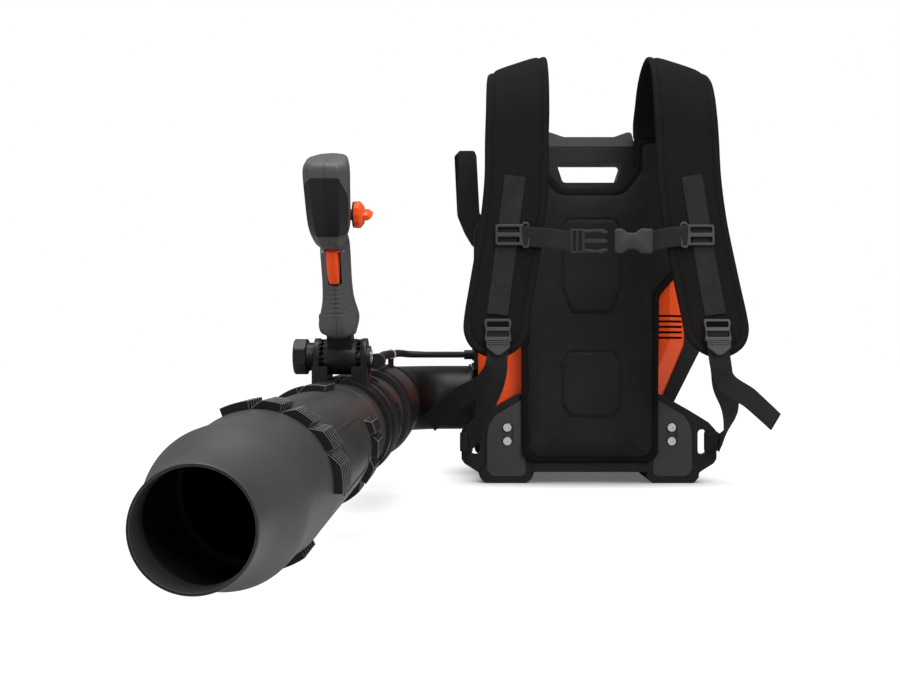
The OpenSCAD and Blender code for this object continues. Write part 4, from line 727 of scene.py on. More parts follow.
def ribbon(name, pts, sides, s=1, w=25.0, steps=None, ripple=0.25, swap=None):
    """Strip of webbing along a smooth line, with its width direction turning from one point to the next."""
    line = Line(pts)
    turn = Line(sides, line.t)
    n = steps or max(8, int(line.end / 4))
    half = [(0.5, 0), (0.492, 0.55), (0.47, 0.9), (0.36, 1), (0.18, 1)]
    across = [(-a, h) for a, h in half] + [(0, 1)] + half[::-1]
    section = across + [(a, -h) for a, h in reversed(across[1:-1])]
    rows, uvs = [], []
    for i in range(n + 1):
        d = line.end * i / n
        q, u = line.at(d), line.along(d)
        a = turn.at(d)
        a = (a - u * a.dot(u)).normalized()
        nn = u.cross(a)
        lift = ripple * noise.noise(q * 0.05)
        row = []
        for x, h in section:
            p = q + a * (x * w) + nn * (h * WEB_T / 2 + lift)
            row.append((p.x * s, p.y, p.z))
            uvs.append((x * w / 1000, d / 1000))
        rows.append(row)
    ob = piece(name, skin(rows), "webbing", "pack", uv=uvs, sharp=50, swap=swap, slot="webbing")


def strap_at(z):
    """Place on the right strap's centre line at height z on its front run, as in the solids."""
    st = [p for p, _ in STRAP[:10]]
    k = 0
    while k < 8 and st[k + 1][2] <= z:
        k += 1
    a, b = Vector(st[k]), Vector(st[k + 1])
    return a + (b - a) * ((z - a.z) / (b.z - a.z))


def on_face(x, z, lift):
    """Point above the outer face of the right strap's front run."""
    low = max(172, z - 6)
    p, q = strap_at(low), strap_at(low + 12)
    slope = (q.y - p.y) / (q.z - p.z)
    return (x, strap_at(z).y - (6 + lift) * sqrt(1 + slope**2), z)


def strap_matrix(x, z, lift, s):
    """Local frame on the right strap's face: X outwards, Y up, Z away from the wearer; s = -1 mirrors it."""
    lean = atan2(strap_at(z + 10).y - strap_at(z - 10).y, 20)
    m = frame_at(on_face(x, z, lift), (1, 0, 0), (0, sin(lean), cos(lean)))
    if s < 0:
        zero = P(0, 0, 0)
        m = Matrix.Translation(zero) @ Matrix.Diagonal((-1, 1, 1, 1)) @ Matrix.Translation(-zero) @ m
    return m


def stitch_box(m, w, h, lift):
    """Runs for a stitched box with a cross in it, in a local frame."""
    nn = (m.to_3x3() @ Vector((0, 0, 1))).normalized()
    ends = []
    for x, y in ((-w / 2, -h / 2), (w / 2, -h / 2), (w / 2, h / 2), (-w / 2, h / 2)):
        q = m @ Vector((x / 1000, y / 1000, lift / 1000))
        ends.append(((q.x * 1000 + OX, q.y * 1000 + OY, q.z * 1000), nn))
    return [[ends[i], ends[j]] for i, j in ((0, 1), (1, 2), (2, 3), (3, 0), (0, 2), (1, 3))]


SEWN_TOP = 391


def sewn_x(z):
    """Place across the strap of the webbing sewn down its face."""
    return 106.5 + (LOCK_X - 106.5) * (SEWN_TOP - z) / (SEWN_TOP - 225)


LOCK_BODY = rounded([(16, -12), (14.6, 2), (16.2, 13), (14.5, 16.5), (-14.5, 16.5), (-16.2, 13), (-14.6, 2),
                     (-16, -12)], [3, 12, 3, 2, 2, 3, 12, 3], 4)
TONGUE = rounded([(13.5, -8), (14, -19), (3, -28.5), (-3, -28.5), (-14, -19), (-13.5, -8)], [2, 3, 3, 3, 3, 2], 4)
SLIDER = rounded([(21, -13), (21, 13), (-11, 13), (-12.5, 17), (-20, 15), (-20, -15), (-12.5, -17), (-11, -13)],
                 [3, 3, 2, 2.5, 3, 3, 2.5, 2], 4)
BAR_X, BAR_Z = 166.5, 55.0
# Where each lower webbing passes, and where its free end hangs
LOWER = {"left": ((1.5, 4, 15, 21), (214, -40, 84.5)), "right": ((4, 11, 33, 43), (229, -75, 88.6))}

for side, s in SIDES:
    # Webbing sewn down the strap's face
    pts = [on_face(sewn_x(z), z, WEB_T / 2 + 0.15) for z in (223, 228, 250, 285, 318, 335, 386, SEWN_TOP)]
    ribbon(side + "_sewn_webbing", pts, [(1, 0, 0)] * len(pts), s,
           swap="sewn_webbing", ripple=0.05)
    runs = []
    for z, h in ((380, 15), (252, 13)):
        runs += stitch_box(strap_matrix(sewn_x(z), z, WEB_T + 0.15, s), 19, h, 0.15)
    stitches(side + "_webbing_stitches", runs, pitch=3.0, size=2.1, thick=0.45)

    # Ladder lock at the strap's end
    m = strap_matrix(LOCK_X, LOCK_Z, LOCK_LIFT, s)
    slots = [rounded(rect(25.4, 6.4, 0, 9.6), 1, 2), rounded(rect(25.4, 6.6, 0, -2.2), 1, 2)]
    plate(side + "_ladder_lock", [LOCK_BODY] + slots, BUCKLE_T - 0.8, m, 0.8, BUCKLE_T / 2 - 0.2, swap="ladder_locks")
    plate(side + "_ladder_lock_tongue", [TONGUE], 3.0, m, 0.9, BUCKLE_T - 0.6, mat="buckle_light")
    for k in range(3):
        rib = rounded(rect(24, 1.3, 0, -10.2 - 2.6 * k), 0.5, 2)
        plate(side + "_ladder_lock_rib_" + str(k), [rib], 1.4, m, 0.3, BUCKLE_T + 0.9)

    # Slider of the chest strap
    m = strap_matrix(CHEST_X, CHEST_Z, SLIDER_LIFT, s)
    holes = [rounded(rect(*r), 1, 2) for r in ((25.4, 6.6, 5, 6), (25.4, 6.6, 5, -6), (4.2, 25.4, -15.2, 0))]
    plate(side + "_chest_slider", [SLIDER] + holes, BUCKLE_T - 0.8, m, 0.8, BUCKLE_T / 2 - 0.1, swap="strap_sliders")

    # Webbing through the ladder lock: the run to the wing, round its bar, and its free end
    near = 0.2 + WEB_T / 2
    mid, tip = LOWER[side]
    run = [on_face(LOCK_X + x, z, lift) for x, z, lift in (
        (0, 205, LOCK_LIFT + 1.0), (0, 200, near + 1.4), (0, 192, near), (0.5, 180, near), (1, 173.5, near))]
    run += [(LOCK_X + x, y, z) for x, y, z in zip(mid, (-182, -160, -112, -64), (160, 142, 110, 80))]
    run += [(BAR_X + x * s, y, BAR_Z + z) for x, y, z in (
        (5, -22, 4), (8, 0, 0), (8, 12, 0), (5.5, 19.6, 0), (0, 20.6, 0), (-5.5, 19.6, 0), (-8, 12, 0), (-7.6, 3, 0),
        (-3, -4, 1), (2.6, -18, 4))]
    turn = [0] * 5 + [3, 12, 34, 58, 82] + [90] * 7 + [88, 82]
    ribbon(side + "_lower_webbing_run", run, [(cos(radians(a)), 0, sin(radians(a))) for a in turn],
           s, swap=side + "_lower_webbing", ripple=0.6)
    near += WEB_T + 0.25
    tail = [on_face(LOCK_X + x, z, lift) for x, z, lift in (
        (0, 203, LOCK_LIFT + 1.4), (0, 197, near + 1.8), (0, 190, near), (0.5, 181, near), (1, 174, near))]
    tail += [(LOCK_X + 3, -184.8, 162), (LOCK_X + 9, -172, 150),
             ((LOCK_X + tip[0]) / 2 + 6, (tip[1] - 160) / 2 - 3, 120), tip]
    sides = [(1, 0, 0)] * 4 + [(1, 0, 0.02), (0.98, 0, 0.12), (0.84, 0, 0.54), (0.6, 0.1, 0.8), (0.55, 0.1, 0.82)]
    ribbon(side + "_webbing_tail", tail, sides, s, ripple=0.8)

# Chest webbings with their sewn loops: heights at the slider, and the last stretch to the buckle
BUCKLE_Z = 311
cy = on_face(CHEST_X, CHEST_Z, 0)[1] - SLIDER_LIFT - BUCKLE_T / 2
bar = CHEST_X - 15.2
for side, s, (z0, z1, z2), (x0, x1, x2), (z3, z4) in (
    ("left", -1, (-1.5, -1.0, -1.5), (68, 47, 41), (-3.5, 0.5)),
    ("right", 1, (-0.5, -0.2, -0.8), (74, 60, 54.5), (-3, 1)),
):
    pts = [(bar + x, cy + y, CHEST_Z + z) for x, y, z in (
        (-3.2, 0.9, z0), (1.2, 3.6, z1), (4.4, 0, z1), (1.2, -3.4, z1), (-4, -1.4, z2))]
    pts += [(x0, cy - 0.4, CHEST_Z + z3), (x1, cy - 0.4, BUCKLE_Z + z4), (x2, cy, BUCKLE_Z)]
    ribbon(side + "_chest_webbing", pts, [(0, 0, 1)] * len(pts), s, w=24.0,
           swap="chest_webbing", ripple=0.15, steps=40)

# Side release buckle
m = frame_at((0, cy, BUCKLE_Z), (1, 0, 0), (0, 0, 1))
base = rounded([(-24, -14), (-24, 14), (-42, 14), (-42, -14)], 2.5, 4)
plate("buckle_plug_base", [base, rounded(rect(3.4, 25, -36.6), 0.8, 2), rounded(rect(3.4, 25, -29.8), 0.8, 2)],
      BUCKLE_T, m, 0.8, swap="buckle_plug")
for k, arm in enumerate((1, -1)):
    o = [(x, arm * y) for x, y in ((-26, 13.2), (-12, 14), (-3, 14.6), (3.5, 11.5), (4, 9.6), (-2.5, 8.4),
                                   (-6, 10.4), (-12, 10.6), (-26, 9.2))]
    plate("buckle_plug_arm_" + str(k), [rounded(o[::arm], [1, 4, 1.5, 1, 1, 1, 1, 3, 1], 3)], BUCKLE_T - 0.6, m, 0.6)
centre = rounded([(-26, -2.6), (1, -2.2), (4, 0), (1, 2.2), (-26, 2.6)], [0.5, 1, 1, 1, 0.5], 3)
plate("buckle_plug_centre", [centre], BUCKLE_T - 1.4, m, 0.5)
lower = [(11, -14), (20, -15), (27, -9.8), (36, -9.8), (43, -15), (57, -14.5)]
socket = rounded(lower + [(x, -y) for x, y in lower[::-1]], [3, 3, 5, 5, 3, 2, 2, 3, 5, 5, 3, 3], 5)
ob = plate("buckle_socket_body", [socket], 10.0, m, 1.8, mat="buckle_light", swap="buckle_socket")
cut(ob, [solid("mouth", prism(rect(18, 23.5, 16, BUCKLE_Z), cy - 2.7, cy + 2.7)),
         solid("web_slot", prism(rect(8, 25.4, 57, BUCKLE_Z), cy - 1.0, cy + 1.0))])

# ---------------------------------------------------------------- air path
TUBE_R, SPIGOT_IN = 43.0, 41.5
ELBOW_END, CUFF_BACK, CUFF_FRONT, COLLAR_BACK, COLLAR_FRONT = -21.5, 88.0, 239.0, 338.0, 410.0
SEAM_S, MOUTH_S = 800.0, 924.0


def turned(name, profile, mat, body, steps, swap, slot):
    """Closed profile of (radius, place along the tube) turned about the air tube."""
    rows = [[tube(s, 360 * j / steps, r) for j in range(steps)] for r, s in profile]
    return piece(name, skin(rows, loop=True), mat, body, sharp=38, swap=swap, slot=slot)


def steps_from(r, s, steps):
    return [(r + a, s + b) for a, b in steps]


# Bellows: rounded folds between two smooth sleeves
FOLDS, FOLD_H, SLEEVE = 9, 4.3, 16.3
first, last = ELBOW_END + SLEEVE, CUFF_BACK - SLEEVE
waves = [(FOLD_H * (0.5 - 0.5 * cos(tau * i / 12)) ** 0.75, first + (last - first) * i / 12 / FOLDS)
         for i in range(FOLDS * 12 + 1)]
prof = steps_from(0, ELBOW_END, ((44.4, 0.3), (46.3, 0.3), (46.6, 0.9))) + [(46.6 + h, s) for h, s in waves]
prof += steps_from(0, CUFF_BACK, ((46.6, -0.9), (46.3, -0.3), (44.4, -0.3))) + [(44.5 + h, s) for h, s in waves[::-1]]
hose = turned("bellows_hose", prof, "rubber", None, 96, "bellows", "grip_rubber")
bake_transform(hose)

# Cuff with its bead rings
r = 54.2
prof = steps_from(44, CUFF_BACK, ((-2.5, -16), (-0.4, -16), (0, -15.6), (0, 0)))
prof += steps_from(r, CUFF_BACK, (
    (-3, 0), (-1.4, 0.8), (-0.3, 3.2), (0, 7), (0, 22), (-0.5, 22.6), (-0.5, 24), (0, 24.6), (0, 60), (0, 105),
    (-0.9, 118)))
prof += steps_from(r, CUFF_FRONT, (
    (-2.4, -18), (-3.6, -16), (-5, -14.4), (-5.2, -13), (-5, -10.6), (-4.2, -9), (-3.5, -7.6), (-3.2, -6),
    (-3.3, -4.6), (-4.3, -4), (-4.3, -3.2), (-3.4, -2.6), (-3.4, -1.2), (-4.2, -0.2), (-6, 0)))
prof += steps_from(0, CUFF_FRONT, ((44.3, 0), (44.1, -0.6), (44.1, -44), (SPIGOT_IN, -50)))
turned("cuff_shell", prof, "black", "cuff_body", 128, "cuff", "black_plastic")

# Blower tube
prof = [(41.6, CUFF_FRONT - 38), (44.0, CUFF_FRONT - 38), (44.0, CUFF_FRONT + 96), (44.0, COLLAR_BACK + 6),
        (43, COLLAR_BACK + 12), (43, 503.8), (42.4, 504.2), (42.4, 505.4), (43, 505.8), (43, 640)]
prof += steps_from(0, SEAM_S, (
    (43, -0.7), (42.7, 0), (41.4, 0.01), (41.4, 6.4), (38.9, 6.4), (38.4, 5.9), (38.4, -4), (40.6, -12)))
prof += [(40.6, COLLAR_BACK + 14), (41.6, COLLAR_BACK + 4)]
turned("long_tube", prof, "tube", "tube", 160, "blower_tube", "tube_plastic")


def dense(o, step=4.0):
    """Outline with points no more than about a step apart."""
    out = []
    for (x0, y0), (x1, y1) in zip(o, o[1:] + o[:1]):
        k = max(1, int(hypot(x1 - x0, y1 - y0) / step))
        out += [(x0 + (x1 - x0) * j / k, y0 + (y1 - y0) * j / k) for j in range(k)]
    return out


# Raised bare frame on the tube's side
outside = dense(rounded(rect(132, 44), 6, 5))
within = [(x * (127.6 / 132), y * (39.6 / 44)) for x, y in outside]
rows = [[tube(670 + x, 82 + degrees(y / TUBE_R), TUBE_R + h) for x, y in o]
        for o, h in ((outside, -0.3), (outside, 0.7), (within, 0.7), (within, -0.3))]
piece("side_frame", skin(rows, loop=True), "tube", "tube", sharp=30, bevel=0.15, slot="tube_plastic")

# Nozzle: barrel shoulder, dome and grooved lip, then the way back inside
prof = steps_from(0, SEAM_S, ((42.9, 0.35), (43.1, 0.9), (43.0, 2.2), (42.5, 8), (41.7, 16), (41.1, 28), (40.8, 48)))
prof += [(40.62, 867.4), (40.55, 868.2), (39.75, 872)]
dome = (38.95, 38.1, 37.2, 36.25, 35.3, 34.35, 33.4, 32.5, 31.65, 30.9, 30.25, 29.7, 29.3, 29.0, 28.8, 28.7)
prof += [(r, 875 + 3 * k) for k, r in enumerate(dome)]
prof += steps_from(0, MOUTH_S, (
    (28.7, -0.5), (28.4, 0), (28.15, 0), (28.0, -0.9), (27.55, -0.9), (27.4, 0), (27.2, 0), (27.0, -0.4),
    (27.0, -12)))
prof += [(27.5, 910), (28.5, 904), (30.6, 896), (34.0, 886), (37.0, 876), (38.6, 866)]
prof += steps_from(0, SEAM_S, ((39.0, 28), (41.4, 20), (41.4, 0.35)))
turned("barrel_nozzle", prof, "nozzle", "tube", 176, "nozzle", "tube_plastic")

# Swivel collar with grip notches
r = 49.4
prof = [(44.05, COLLAR_BACK)] + steps_from(r, COLLAR_BACK, ((-1.2, 0), (-0.3, 0.8), (0, 2.2)))
prof += steps_from(r, COLLAR_FRONT, (
    (0, -16.4), (-0.3, -15.6), (-1.7, -13.4), (-2, -12.6), (-2, -8.2), (-1.8, -7.4), (-1.1, -6.2), (-0.9, -5.4),
    (-0.9, -1.4), (-1.3, -0.5), (-2.2, 0)))
prof += [(43.05, COLLAR_FRONT), (43.05, COLLAR_BACK + 12), (44.05, COLLAR_BACK + 6)]
collar = turned("turning_collar", prof, "black", "tube", 144, "swivel_collar", "black_plastic")
notch = rounded(rect(26, 8), 3, 4)
cutters = []
for k in range(9):
    t = radians(70 - 40 * k)
    cutters.append(solid("notch", skin([[
        (TUBE_X + q * sin(t) + across * cos(t), -(COLLAR_BACK + 31 + along), TUBE_Z + q * cos(t) - across * sin(t))
        for along, across in notch] for q in (r - 1.6, r + 4)])))
cut(collar, cutters)

# Grip lugs, in two opposite sets: start angle, width in degrees, and how far back each begins and ends
FRONT_LUGS = [(-27, 21.4, 0, 38), (-5, 22.6, 0, 40), (18, 23.6, 0, 37), (42, 22.6, 0, 42), (65, 31, 0, 39)]
REAR_LUGS = [(-45, 27.6, 6, 40), (-17, 28, 0, 52), (61, 16, 0, 44), (78, 23, 9, 54), (102, 24, 2, 48)]
LUG_H, LUG_LOW, FRONT_S, REAR_S = 5.0, 0.08, SEAM_S - 5, SEAM_S - 208


def lug_plate(a0, width, front, back, rise=0.36, top=1.0):
    """One plate of a lug, standing on the tube: a ramp from its smaller angle, then flat to the steep end."""
    xs = [0, rise / 2, rise] + [rise + (1 - rise) * k / 11 for k in range(1, 12)]
    rows = []
    for s in (front, back):
        upper = [(x, LUG_H * (LUG_LOW + (top - LUG_LOW) * min(1.0, x / rise) if rise else top)) for x in xs]
        rows.append([tube(s, a0 + 0.35 + (width - 0.7) * x, TUBE_R + h)
                     for x, h in upper + [(x, -0.25) for x in xs[::-1]]])
    return skin(rows)


def lug_set(name, parts, bevel, swap):
    ob = piece(name, join_vf(parts), "rubber", "tube", bevel=bevel, angle=28, swap=swap, slot="grip_rubber", sharp=28)
    ob.data.materials.append(MAT["lug_edge_painted_highlight"])
    # The bevel faces take the lighter grey, a painted highlight along the lug edges
    ob.modifiers["bevel"].material = 1


parts = []
for g in (0, 172):
    for k, (a0, width, lead, end) in enumerate(FRONT_LUGS):
        front = FRONT_S - lead
        q, thick = front, 4.2
        while q - thick > front - end - 0.6:
            parts.append(lug_plate(a0 + g, width, q, q - thick, 0.36 if k else 0.03))
            q -= thick + 3.4
            thick = 3.3
        parts.append(lug_plate(a0 + g + 1.6, width - 3.2, front - 2, q + 4, 0.0, 0.16))
lug_set("front_grip_lugs", parts, 0.5, "front_lugs")
parts = [lug_plate(a0 + g, width, REAR_S - lead, REAR_S - end, 0.3) for g in (0, 172)
         for a0, width, lead, end in REAR_LUGS]
lug_set("rear_grip_lugs", parts, 0.6, "rear_lugs")

# ---------------------------------------------------------------- conduit
DUCT_Y, CZ = 108.5, 172.5
CONDUIT = [
    (-162, DUCT_Y - 20, CZ), (-175, DUCT_Y - 20, CZ), (-200, DUCT_Y - 20.5, CZ), (-222, DUCT_Y - 23, CZ),
    (-238, DUCT_Y - 30, CZ + 0.5), (-249, DUCT_Y - 42, CZ + 1), (-255, DUCT_Y - 58, CZ + 2),
    (-257.5, DUCT_Y - 80, CZ + 2.5), (-258, -30, CZ + 3), (-258, -60, CZ + 3), (-258, -100, CZ + 3),
    (-258, -140, CZ + 3), (-258, -180, CZ + 3), (-258, -220, CZ + 3), (-257, -260, CZ + 2), (-254, -300, CZ + 1),
    (-251, -335, CZ + 0.5), (-249, -370, CZ), (-248.5, -401, CZ),
]
CONDUIT_R, RING_PITCH, RING_H = 4.9, 3.1, 0.95
wire = Line(CONDUIT)


def conduit_rows(t0, t1, n=16):
    """Corrugated surface between two places along the conduit, six rows to a ring."""
    total = max(2, int((t1 - t0) / RING_PITCH * 6))
    rows = []
    for i in range(total + 1):
        t = t0 + (t1 - t0) * i / total
        r = CONDUIT_R - RING_H * (1 - min(1.0, max(0.0, 0.5 + 1.7 * sin(tau * (t / RING_PITCH % 1.0)))))
        c, u = wire.at(t), wire.along(t)
        w = u.cross(Vector((0, 0, 1))).normalized()
        v = w.cross(u)
        rows.append([tuple(c + (w * x + v * y) * r) for x, y in circle(1, n)])
    return rows


def first_place(test):
    t = 0.0
    while t < wire.end and not test(wire.at(t)):
        t += 0.5
    return RING_PITCH * round(t / RING_PITCH)


marks = [0.0, first_place(lambda q: q.x < -224), first_place(lambda q: q.y < -110),
         first_place(lambda q: q.y < -342), wire.end]
# Bodies at the back and front of each stretch, and where its bend starts and ends; only the count of stretches is
# used, and the runs are drawn fixed, on no body
DUCT_R = 62
SPANS = [
    ("pack", "elbow", (-163, 88, CZ), (-224, 86, CZ)),
    ("elbow", "cuff_body", tube(-14, 0, DUCT_R), tube(82, 0, DUCT_R)),
    ("cuff_body", "tube", tube(150, 0, DUCT_R), tube(330, 0, DUCT_R)),
    ("tube", "bracket", tube(345, 0, DUCT_R), tube(396, 0, DUCT_R)),
]
for k, (back, front, start, end) in enumerate(SPANS):
    ob = piece("conduit_run_" + str(k), skin(conduit_rows(marks[k], marks[k + 1])), "conduit", None, swap="conduit",
               slot="black_plastic", sharp=50)
    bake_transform(ob)

# Clear tie that holds it to the cuff, and its foot
tie_y, tie_x, tie_z = -(CUFF_BACK + 40), -258, CZ + 3
rows = [ring_y(tie_y + y, r, 40, tie_x, tie_z)
        for y, r in ((-2.6, 6.05), (-2.2, 6.4), (2.2, 6.4), (2.6, 6.05), (2.6, 5.15), (-2.6, 5.15))]
piece("conduit_tie", skin(rows, loop=True), "clip", "cuff_body", swap="conduit_clip", slot="clip_plastic", bevel=0.15)
outline = rounded(rect(6.5, 13.5, tie_x, tie_z - 11.2), 1.2, 3)
foot = solid("conduit_tie_foot", prism(outline, tie_y - 3.4, tie_y + 3.4))
ends = (tie_y - 9, tie_y + 9)
cut(foot, [solid("round", skin([ring_y(y, 54.15, 96, TUBE_X, TUBE_Z) for y in ends])),
           solid("bore", skin([ring_y(y, 5.2, 40, tie_x, tie_z) for y in ends]))])
finish_mesh(foot, "cuff_body", slot="clip_plastic", bevel=0.3)


# ---------------------------------------------------------------- control handle
def H(x, y, z):
    """Point of the handle's own frame: origin on the tilt axis, Z up the grip, -Y to the front."""
    c, s = cos(LEAN), sin(LEAN)
    return P(TUBE_X + x, -TILT_S + y * c - z * s, TUBE_Z + TILT_H + y * s + z * c)


HEAD_W, GRIP_LOW, GRIP_TOP = 17.5, 25.6, 190.0
# Height, half width, front, back, front chamfer, rounding of the front edges
GRIP = [
    (25.6, 13.0, -16.0, 16.0, 9, 8), (27.4, 14.8, -18.6, 18.2, 9, 8), (30.4, 16.2, -21.0, 20.2, 9, 8),
    (34.4, 17.0, -22.0, 21.0, 9, 8), (38.6, 17.1, -22.0, 21.0, 9, 8), (45, 16.0, -20.6, 19.8, 9, 8),
    (52, 14.3, -19.0, 18.2, 9, 8), (58, 13.2, -18.2, 17.6, 9, 8), (70, 12.3, -17.6, 17.5, 9, 8),
    (90, 12.1, -17.8, 18.0, 9, 7), (104, 11.9, -18.6, 19, 8, 6), (109, 11.4, -20.0, 20, 7, 4),
    (112.5, 10.4, -24, 21.4, 5, 2.5), (116, 9.8, -30.5, 23.6, 4, 2), (118.5, 11.2, -33.6, 25, 4.5, 2),
    (124, 13.8, -36.8, 27, 6, 2), (129, 15.6, -38.2, 28, 7, 2), (136, 17.0, -39.2, 29.2, 7, 2.2),
    (144, 17.6, -39.8, 30, 7, 2.2), (156, 18.0, -39.9, 30, 7, 2.2), (168, 18.4, -39.6, 29.6, 7, 2.4),
    (176, 18.7, -39.0, 28.6, 7, 2.6), (181, 18.7, -38.6, 27.6, 7, 2.6), (184.6, 18.4, -38.0, 26.6, 7, 3),
    (187.4, 17.6, -36.9, 25.4, 7, 4), (189.2, 16.2, -35.2, 23.6, 7, 5), (190, 14.4, -33.2, 21.6, 7, 5),
]
grip_line = Line([g[1:4] for g in GRIP], [g[0] for g in GRIP])
grip_edge = Line([g[4:6] for g in GRIP], [g[0] for g in GRIP])
RIBS, RIB_PITCH = (47, 85), 4.2


def ribs(z):
    """Depth of the finger ribs across the front."""
    low, high = RIBS
    if not low <= z <= high:
        return 0.0
    x = abs((z - low) / RIB_PITCH % 1 - 0.5) * 2
    fade = min(1, (z - low) / 3, (high - z) / 3)
    return 0.8 * fade * (1 - x**2) - 0.45 * fade


def grip_half(z, grow=0.0, gap=0.12):
    """Right half of the section at height z."""
    w, f, b = grip_line.at(z)
    c, r = grip_edge.at(z)
    w, f, b = w + grow, f - grow, b + grow
    cx, rb = min(c, w - 2.4), min(9, 0.55 * w)
    k = min(1.0, max(0.0, (z - 112) / 16))
    wb = w - 5.2 * k
    pts = [(gap, f - 0.25), (w - cx, f), (w, f + cx), (w, f + cx + 12 * k + 2), (wb, b - 0.01 - rb), (wb - rb, b),
           (gap, b)]
    return rounded(pts, [0, r, r, 0.4 + 5 * k, rb, rb, 0], 7)


def grip_levels():
    z, out = GRIP_LOW, []
    while z < GRIP_TOP:
        out.append(z)
        z += 0.7 if 46 <= z < 86 else (1.2 if z < 46 or 104 < z < 132 or z > 178 else 3.0)
    return out + [GRIP_TOP]


def half_shell(side):
    """Half of the grip, its ribs curved like a smile and the top of its cap falling off to the back."""
    rows = []
    for z in grip_levels():
        fall = 0.17 * min(1, max(0, (z - 150) / 40)) ** 1.5
        rows.append([(side * x, y - (ribs(z + 0.03 * x * x) if y < -8 else 0), z - max(0.0, y + 10) * fall)
                     for x, y in grip_half(z)])
    return skin(rows)


WINDOW = [(15.4, 129), (17.4, 144), (17.9, 156), (17.2, 164), (11.5, 179.2), (-11.5, 179.2), (-18.0, 172),
          (-17.9, 156), (-17.4, 144), (-15.4, 129)]
DIAL_Y, DIAL_Z = -6, 138
SCREWS = ((-6, 42, 17.0), (12, 122, 10.8), (12, 170, 14.4))
for side, sg in SIDES:
    ob = solid(side + "_grip_half", half_shell(sg), H, "grip")
    cutters = [solid("slot", prism(rounded(rect(12.4, 38, 0, 96), 2, 3), -46, -5), H),
               solid("window", prism(rounded(WINDOW, 2, 4), -70, -26), H),
               solid("dial_bore", skin([ring_x(x, 5, 32, DIAL_Y, DIAL_Z) for x in (10, 30)]), H)]
    if sg < 0:
        for y, z, w in SCREWS:
            cutters.append(solid("screw", skin([ring_x(x, 4.1, 28, y, z) for x in (-40, -w + 2.6)]), H))
    cut(ob, cutters)
    finish_mesh(ob, "handle", swap="grip_" + side + "_half", slot="grey_plastic", bevel=0.35, angle=40)

# Black cover of the head, proud of the shells
for side, sg in SIDES:
    rows = [[(sg * x, y, z) for x, y in grip_half(z, 0.5, 0.06)] for z in [127 + 1.5 * k for k in range(37)]]
    ob = solid(side + "_head_cover", skin(rows), H)
    cut(ob, [solid("window", prism(rounded(inset(WINDOW, 0.25), 2, 4), -70, -26.5), H)], "INTERSECT")
    finish_mesh(ob, "handle", swap="head_cover", slot="black_plastic", bevel=0.4, angle=28)

# Trigger: faceted, wider below its middle
LEVER = [(-19.5, 113.2), (-24.6, 110.4), (-25.4, 105), (-24.6, 98), (-23.4, 91), (-22.2, 84), (-20.6, 80),
         (-18, 78.4), (-14, 80), (-14.5, 99), (-11, 113)]
LEVER_TOP = 113


def lever_half(z):
    below = max(0, LEVER_TOP - z)
    return 4.8 + 0.45 * min(1, below / 24) - 1.25 * max(0, (91 - z) / 12) ** 1.2


rows = [[(k * lever_half(z), y + 1.5 - (1.5 * lift if y < -19 else 0), z) for y, z in LEVER]
        for k, lift in ((-1, 0), (-0.93, 0.5), (-0.55, 1), (0, 1.15), (0.55, 1), (0.93, 0.5), (1, 0))]
piece("trigger_lever", skin(rows), "orange", "trigger_body", place=H, sharp=24, bevel=0.35, angle=24,
      swap="trigger", slot="orange_plastic")


# Cruise dial: flange, seal ring and faceted knob with its pointed finger bar
def dial_ring(x, r, n=12):
    return ring_x(x, r, n, DIAL_Y, DIAL_Z, 15)


DIAL_X = HEAD_W + 1.4
knob = ((0, 10.6), (0.4, 11.4), (5.2, 11.6), (8.4, 8.0), (8.6, 7.2))
piece("dial_knob", skin([dial_ring(DIAL_X + x, r) for x, r in knob]), "orange", "dial_body", place=H, sharp=15,
      bevel=0.3, angle=12, swap="speed_dial", slot="orange_plastic")
point = rounded([(7.5, -3.6), (12.0, -3.6), (16.2, 0), (12.0, 3.6), (7.5, 3.6)], [0, 1.6, 0.8, 1.6, 0], 4)
rows = [[(DIAL_X + 7.5 + (x - 7.5) * (0.8 + 0.2 * k), DIAL_Y + y, DIAL_Z + z * k) for x, z in point]
        for y, k in ((-8.32, 0.55), (-6.76, 0.85), (-3.64, 1), (3.64, 1), (6.76, 0.85), (8.32, 0.55))]
piece("dial_finger_bar", skin(rows), "orange", "dial_body", place=H, sharp=28, bevel=0.25, slot="orange_plastic")
piece("dial_spindle", skin([dial_ring(x, 4.7, 32) for x in (HEAD_W - 8, DIAL_X + 1)]), "orange", "dial_body", place=H,
      slot="orange_plastic")
seal = ((0.3, 10.2), (0.6, 11.2), (1.3, 11.2), (1.65, 10.4), (1.65, 5.05), (0.3, 5.05))
piece("dial_seal_ring", skin([dial_ring(HEAD_W + x, r, 48) for x, r in seal], loop=True), "rubber", "handle",
      place=H, swap="dial_seal", slot="grip_rubber")

# Grip screws in their wells: button heads with a six-point recess
for k, (y, z, w) in enumerate(SCREWS):
    head = ((1.4, 3.5), (0.2, 3.5), (-0.1, 3.2), (-0.3, 2.6), (-0.4, 1.9))
    rows = [ring_x(x - w, r, 24, y, z) for x, r in head]
    for x, r in ((-0.38, 1.75), (0.9, 1.65)):
        rows.append([(x - w, y + q * (0.84 if j % 4 == 2 else 1), z + p * (0.84 if j % 4 == 2 else 1))
                     for j, (q, p) in enumerate(circle(r, 24))])
    piece("grip_screw_" + str(k), skin(rows), "screw", "handle", place=H, sharp=35, swap="grip_screws", slot="steel")
    shank = skin([ring_x(x, 2, 20, y, z) for x in (1.5 - w, w - 4)])
    piece("grip_screw_shank_" + str(k), shank, "screw", "handle", place=H, slot="steel")

# ---------------------------------------------------------------- stage
def by_camera(nt, other, seen):
    """One shader for camera rays, another for the light that the object gets."""
    ray = node(nt, "LightPath").outputs["Is Camera Ray"]
    return node(nt, "MixShader", {0: ray, 1: other.outputs[0], 2: seen.outputs[0]}).outputs[0]
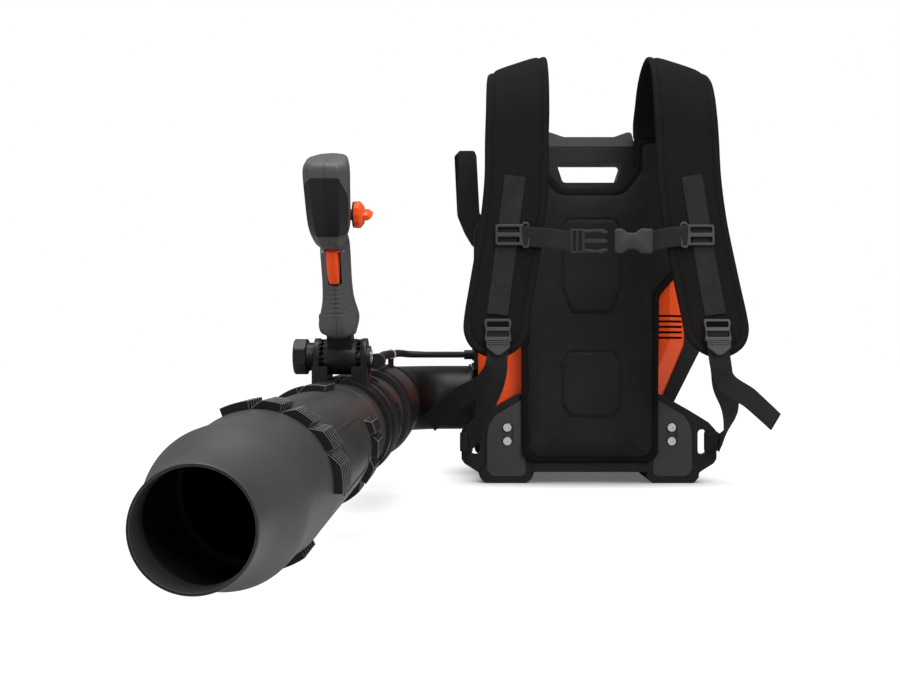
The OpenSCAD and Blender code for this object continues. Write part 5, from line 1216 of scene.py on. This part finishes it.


# The floor is white to the camera, with a painted contact shadow: its glow is darker only where something stands
# close above it
floor_mat, nt, b = new_material("floor_white")
feed(nt, b.inputs, {"Base Color": (0.17, 0.17, 0.17, 1), "Roughness": 1.0, "Specular IOR Level": 0.0})
# Painted shadow: ambient occlusion dims the floor's white glow under and beside things
painted_contact_shadow = node(nt, "AmbientOcclusion", {"Distance": 0.065}, samples=12).outputs["AO"]
glow_with_painted_shadow = node(nt, "Emission", {0: (1, 1, 1, 1), 1: remap(nt, painted_contact_shadow, 0.25, 1.0, 0.12, 0.99)})
seen = node(nt, "AddShader", {0: b.outputs[0], 1: glow_with_painted_shadow.outputs[0]})
dim = node(nt, "BsdfDiffuse", {0: (0.55, 0.55, 0.55, 1)})
output = next(n for n in nt.nodes if n.type == "OUTPUT_MATERIAL")
nt.links.new(by_camera(nt, dim, seen), output.inputs[0])
mesh = bpy.data.meshes.new("floor")
mesh.from_pydata([(-6, -5, 0), (6, -5, 0), (6, 8, 0), (-6, 8, 0)], [], [(0, 1, 2, 3)])
mesh.materials.append(floor_mat)
floor = put("floor", mesh)

world = bpy.data.worlds.new("studio")
bpy.context.scene.world = world
world.use_nodes = True
nt = world.node_tree
nt.nodes.clear()
plain = node(nt, "Background", {0: (1, 1, 1, 1), 1: 0.32})
white = node(nt, "Background", {0: (1, 1, 1, 1), 1: 1.0})
node(nt, "OutputWorld", {0: by_camera(nt, plain, white)})


def area(name, loc, target, size, power):
    l = bpy.data.lights.new(name, "AREA")
    l.shape = "RECTANGLE"
    l.size = l.size_y = size
    l.energy = power
    o = put(name, l)
    o.location = loc
    o.rotation_euler = (Vector(target) - Vector(loc)).to_track_quat("-Z", "Y").to_euler()


area("key_light", (0.9, -2.0, 1.9), (-0.1, 0.1, 0.25), 1.3, 42)
area("fill_light", (-1.9, -1.3, 1.0), (0, 0.1, 0.3), 1.2, 9)
area("top_light", (-0.25, -0.3, 2.3), (-0.2, -0.1, 0.2), 1.6, 44)

cam = bpy.data.cameras.new("camera")
cam.lens = 40
cam.sensor_width = 36
cam.shift_x = -21 / 900
cam.shift_y = 5 / 900
cam.clip_start = 0.01
co = put("camera", cam)
co.location = P(-160, -1351, 190)
co.rotation_euler = (radians(90), 0, 0)
bpy.context.scene.camera = co
bpy.context.scene.view_settings.view_transform = "Standard"
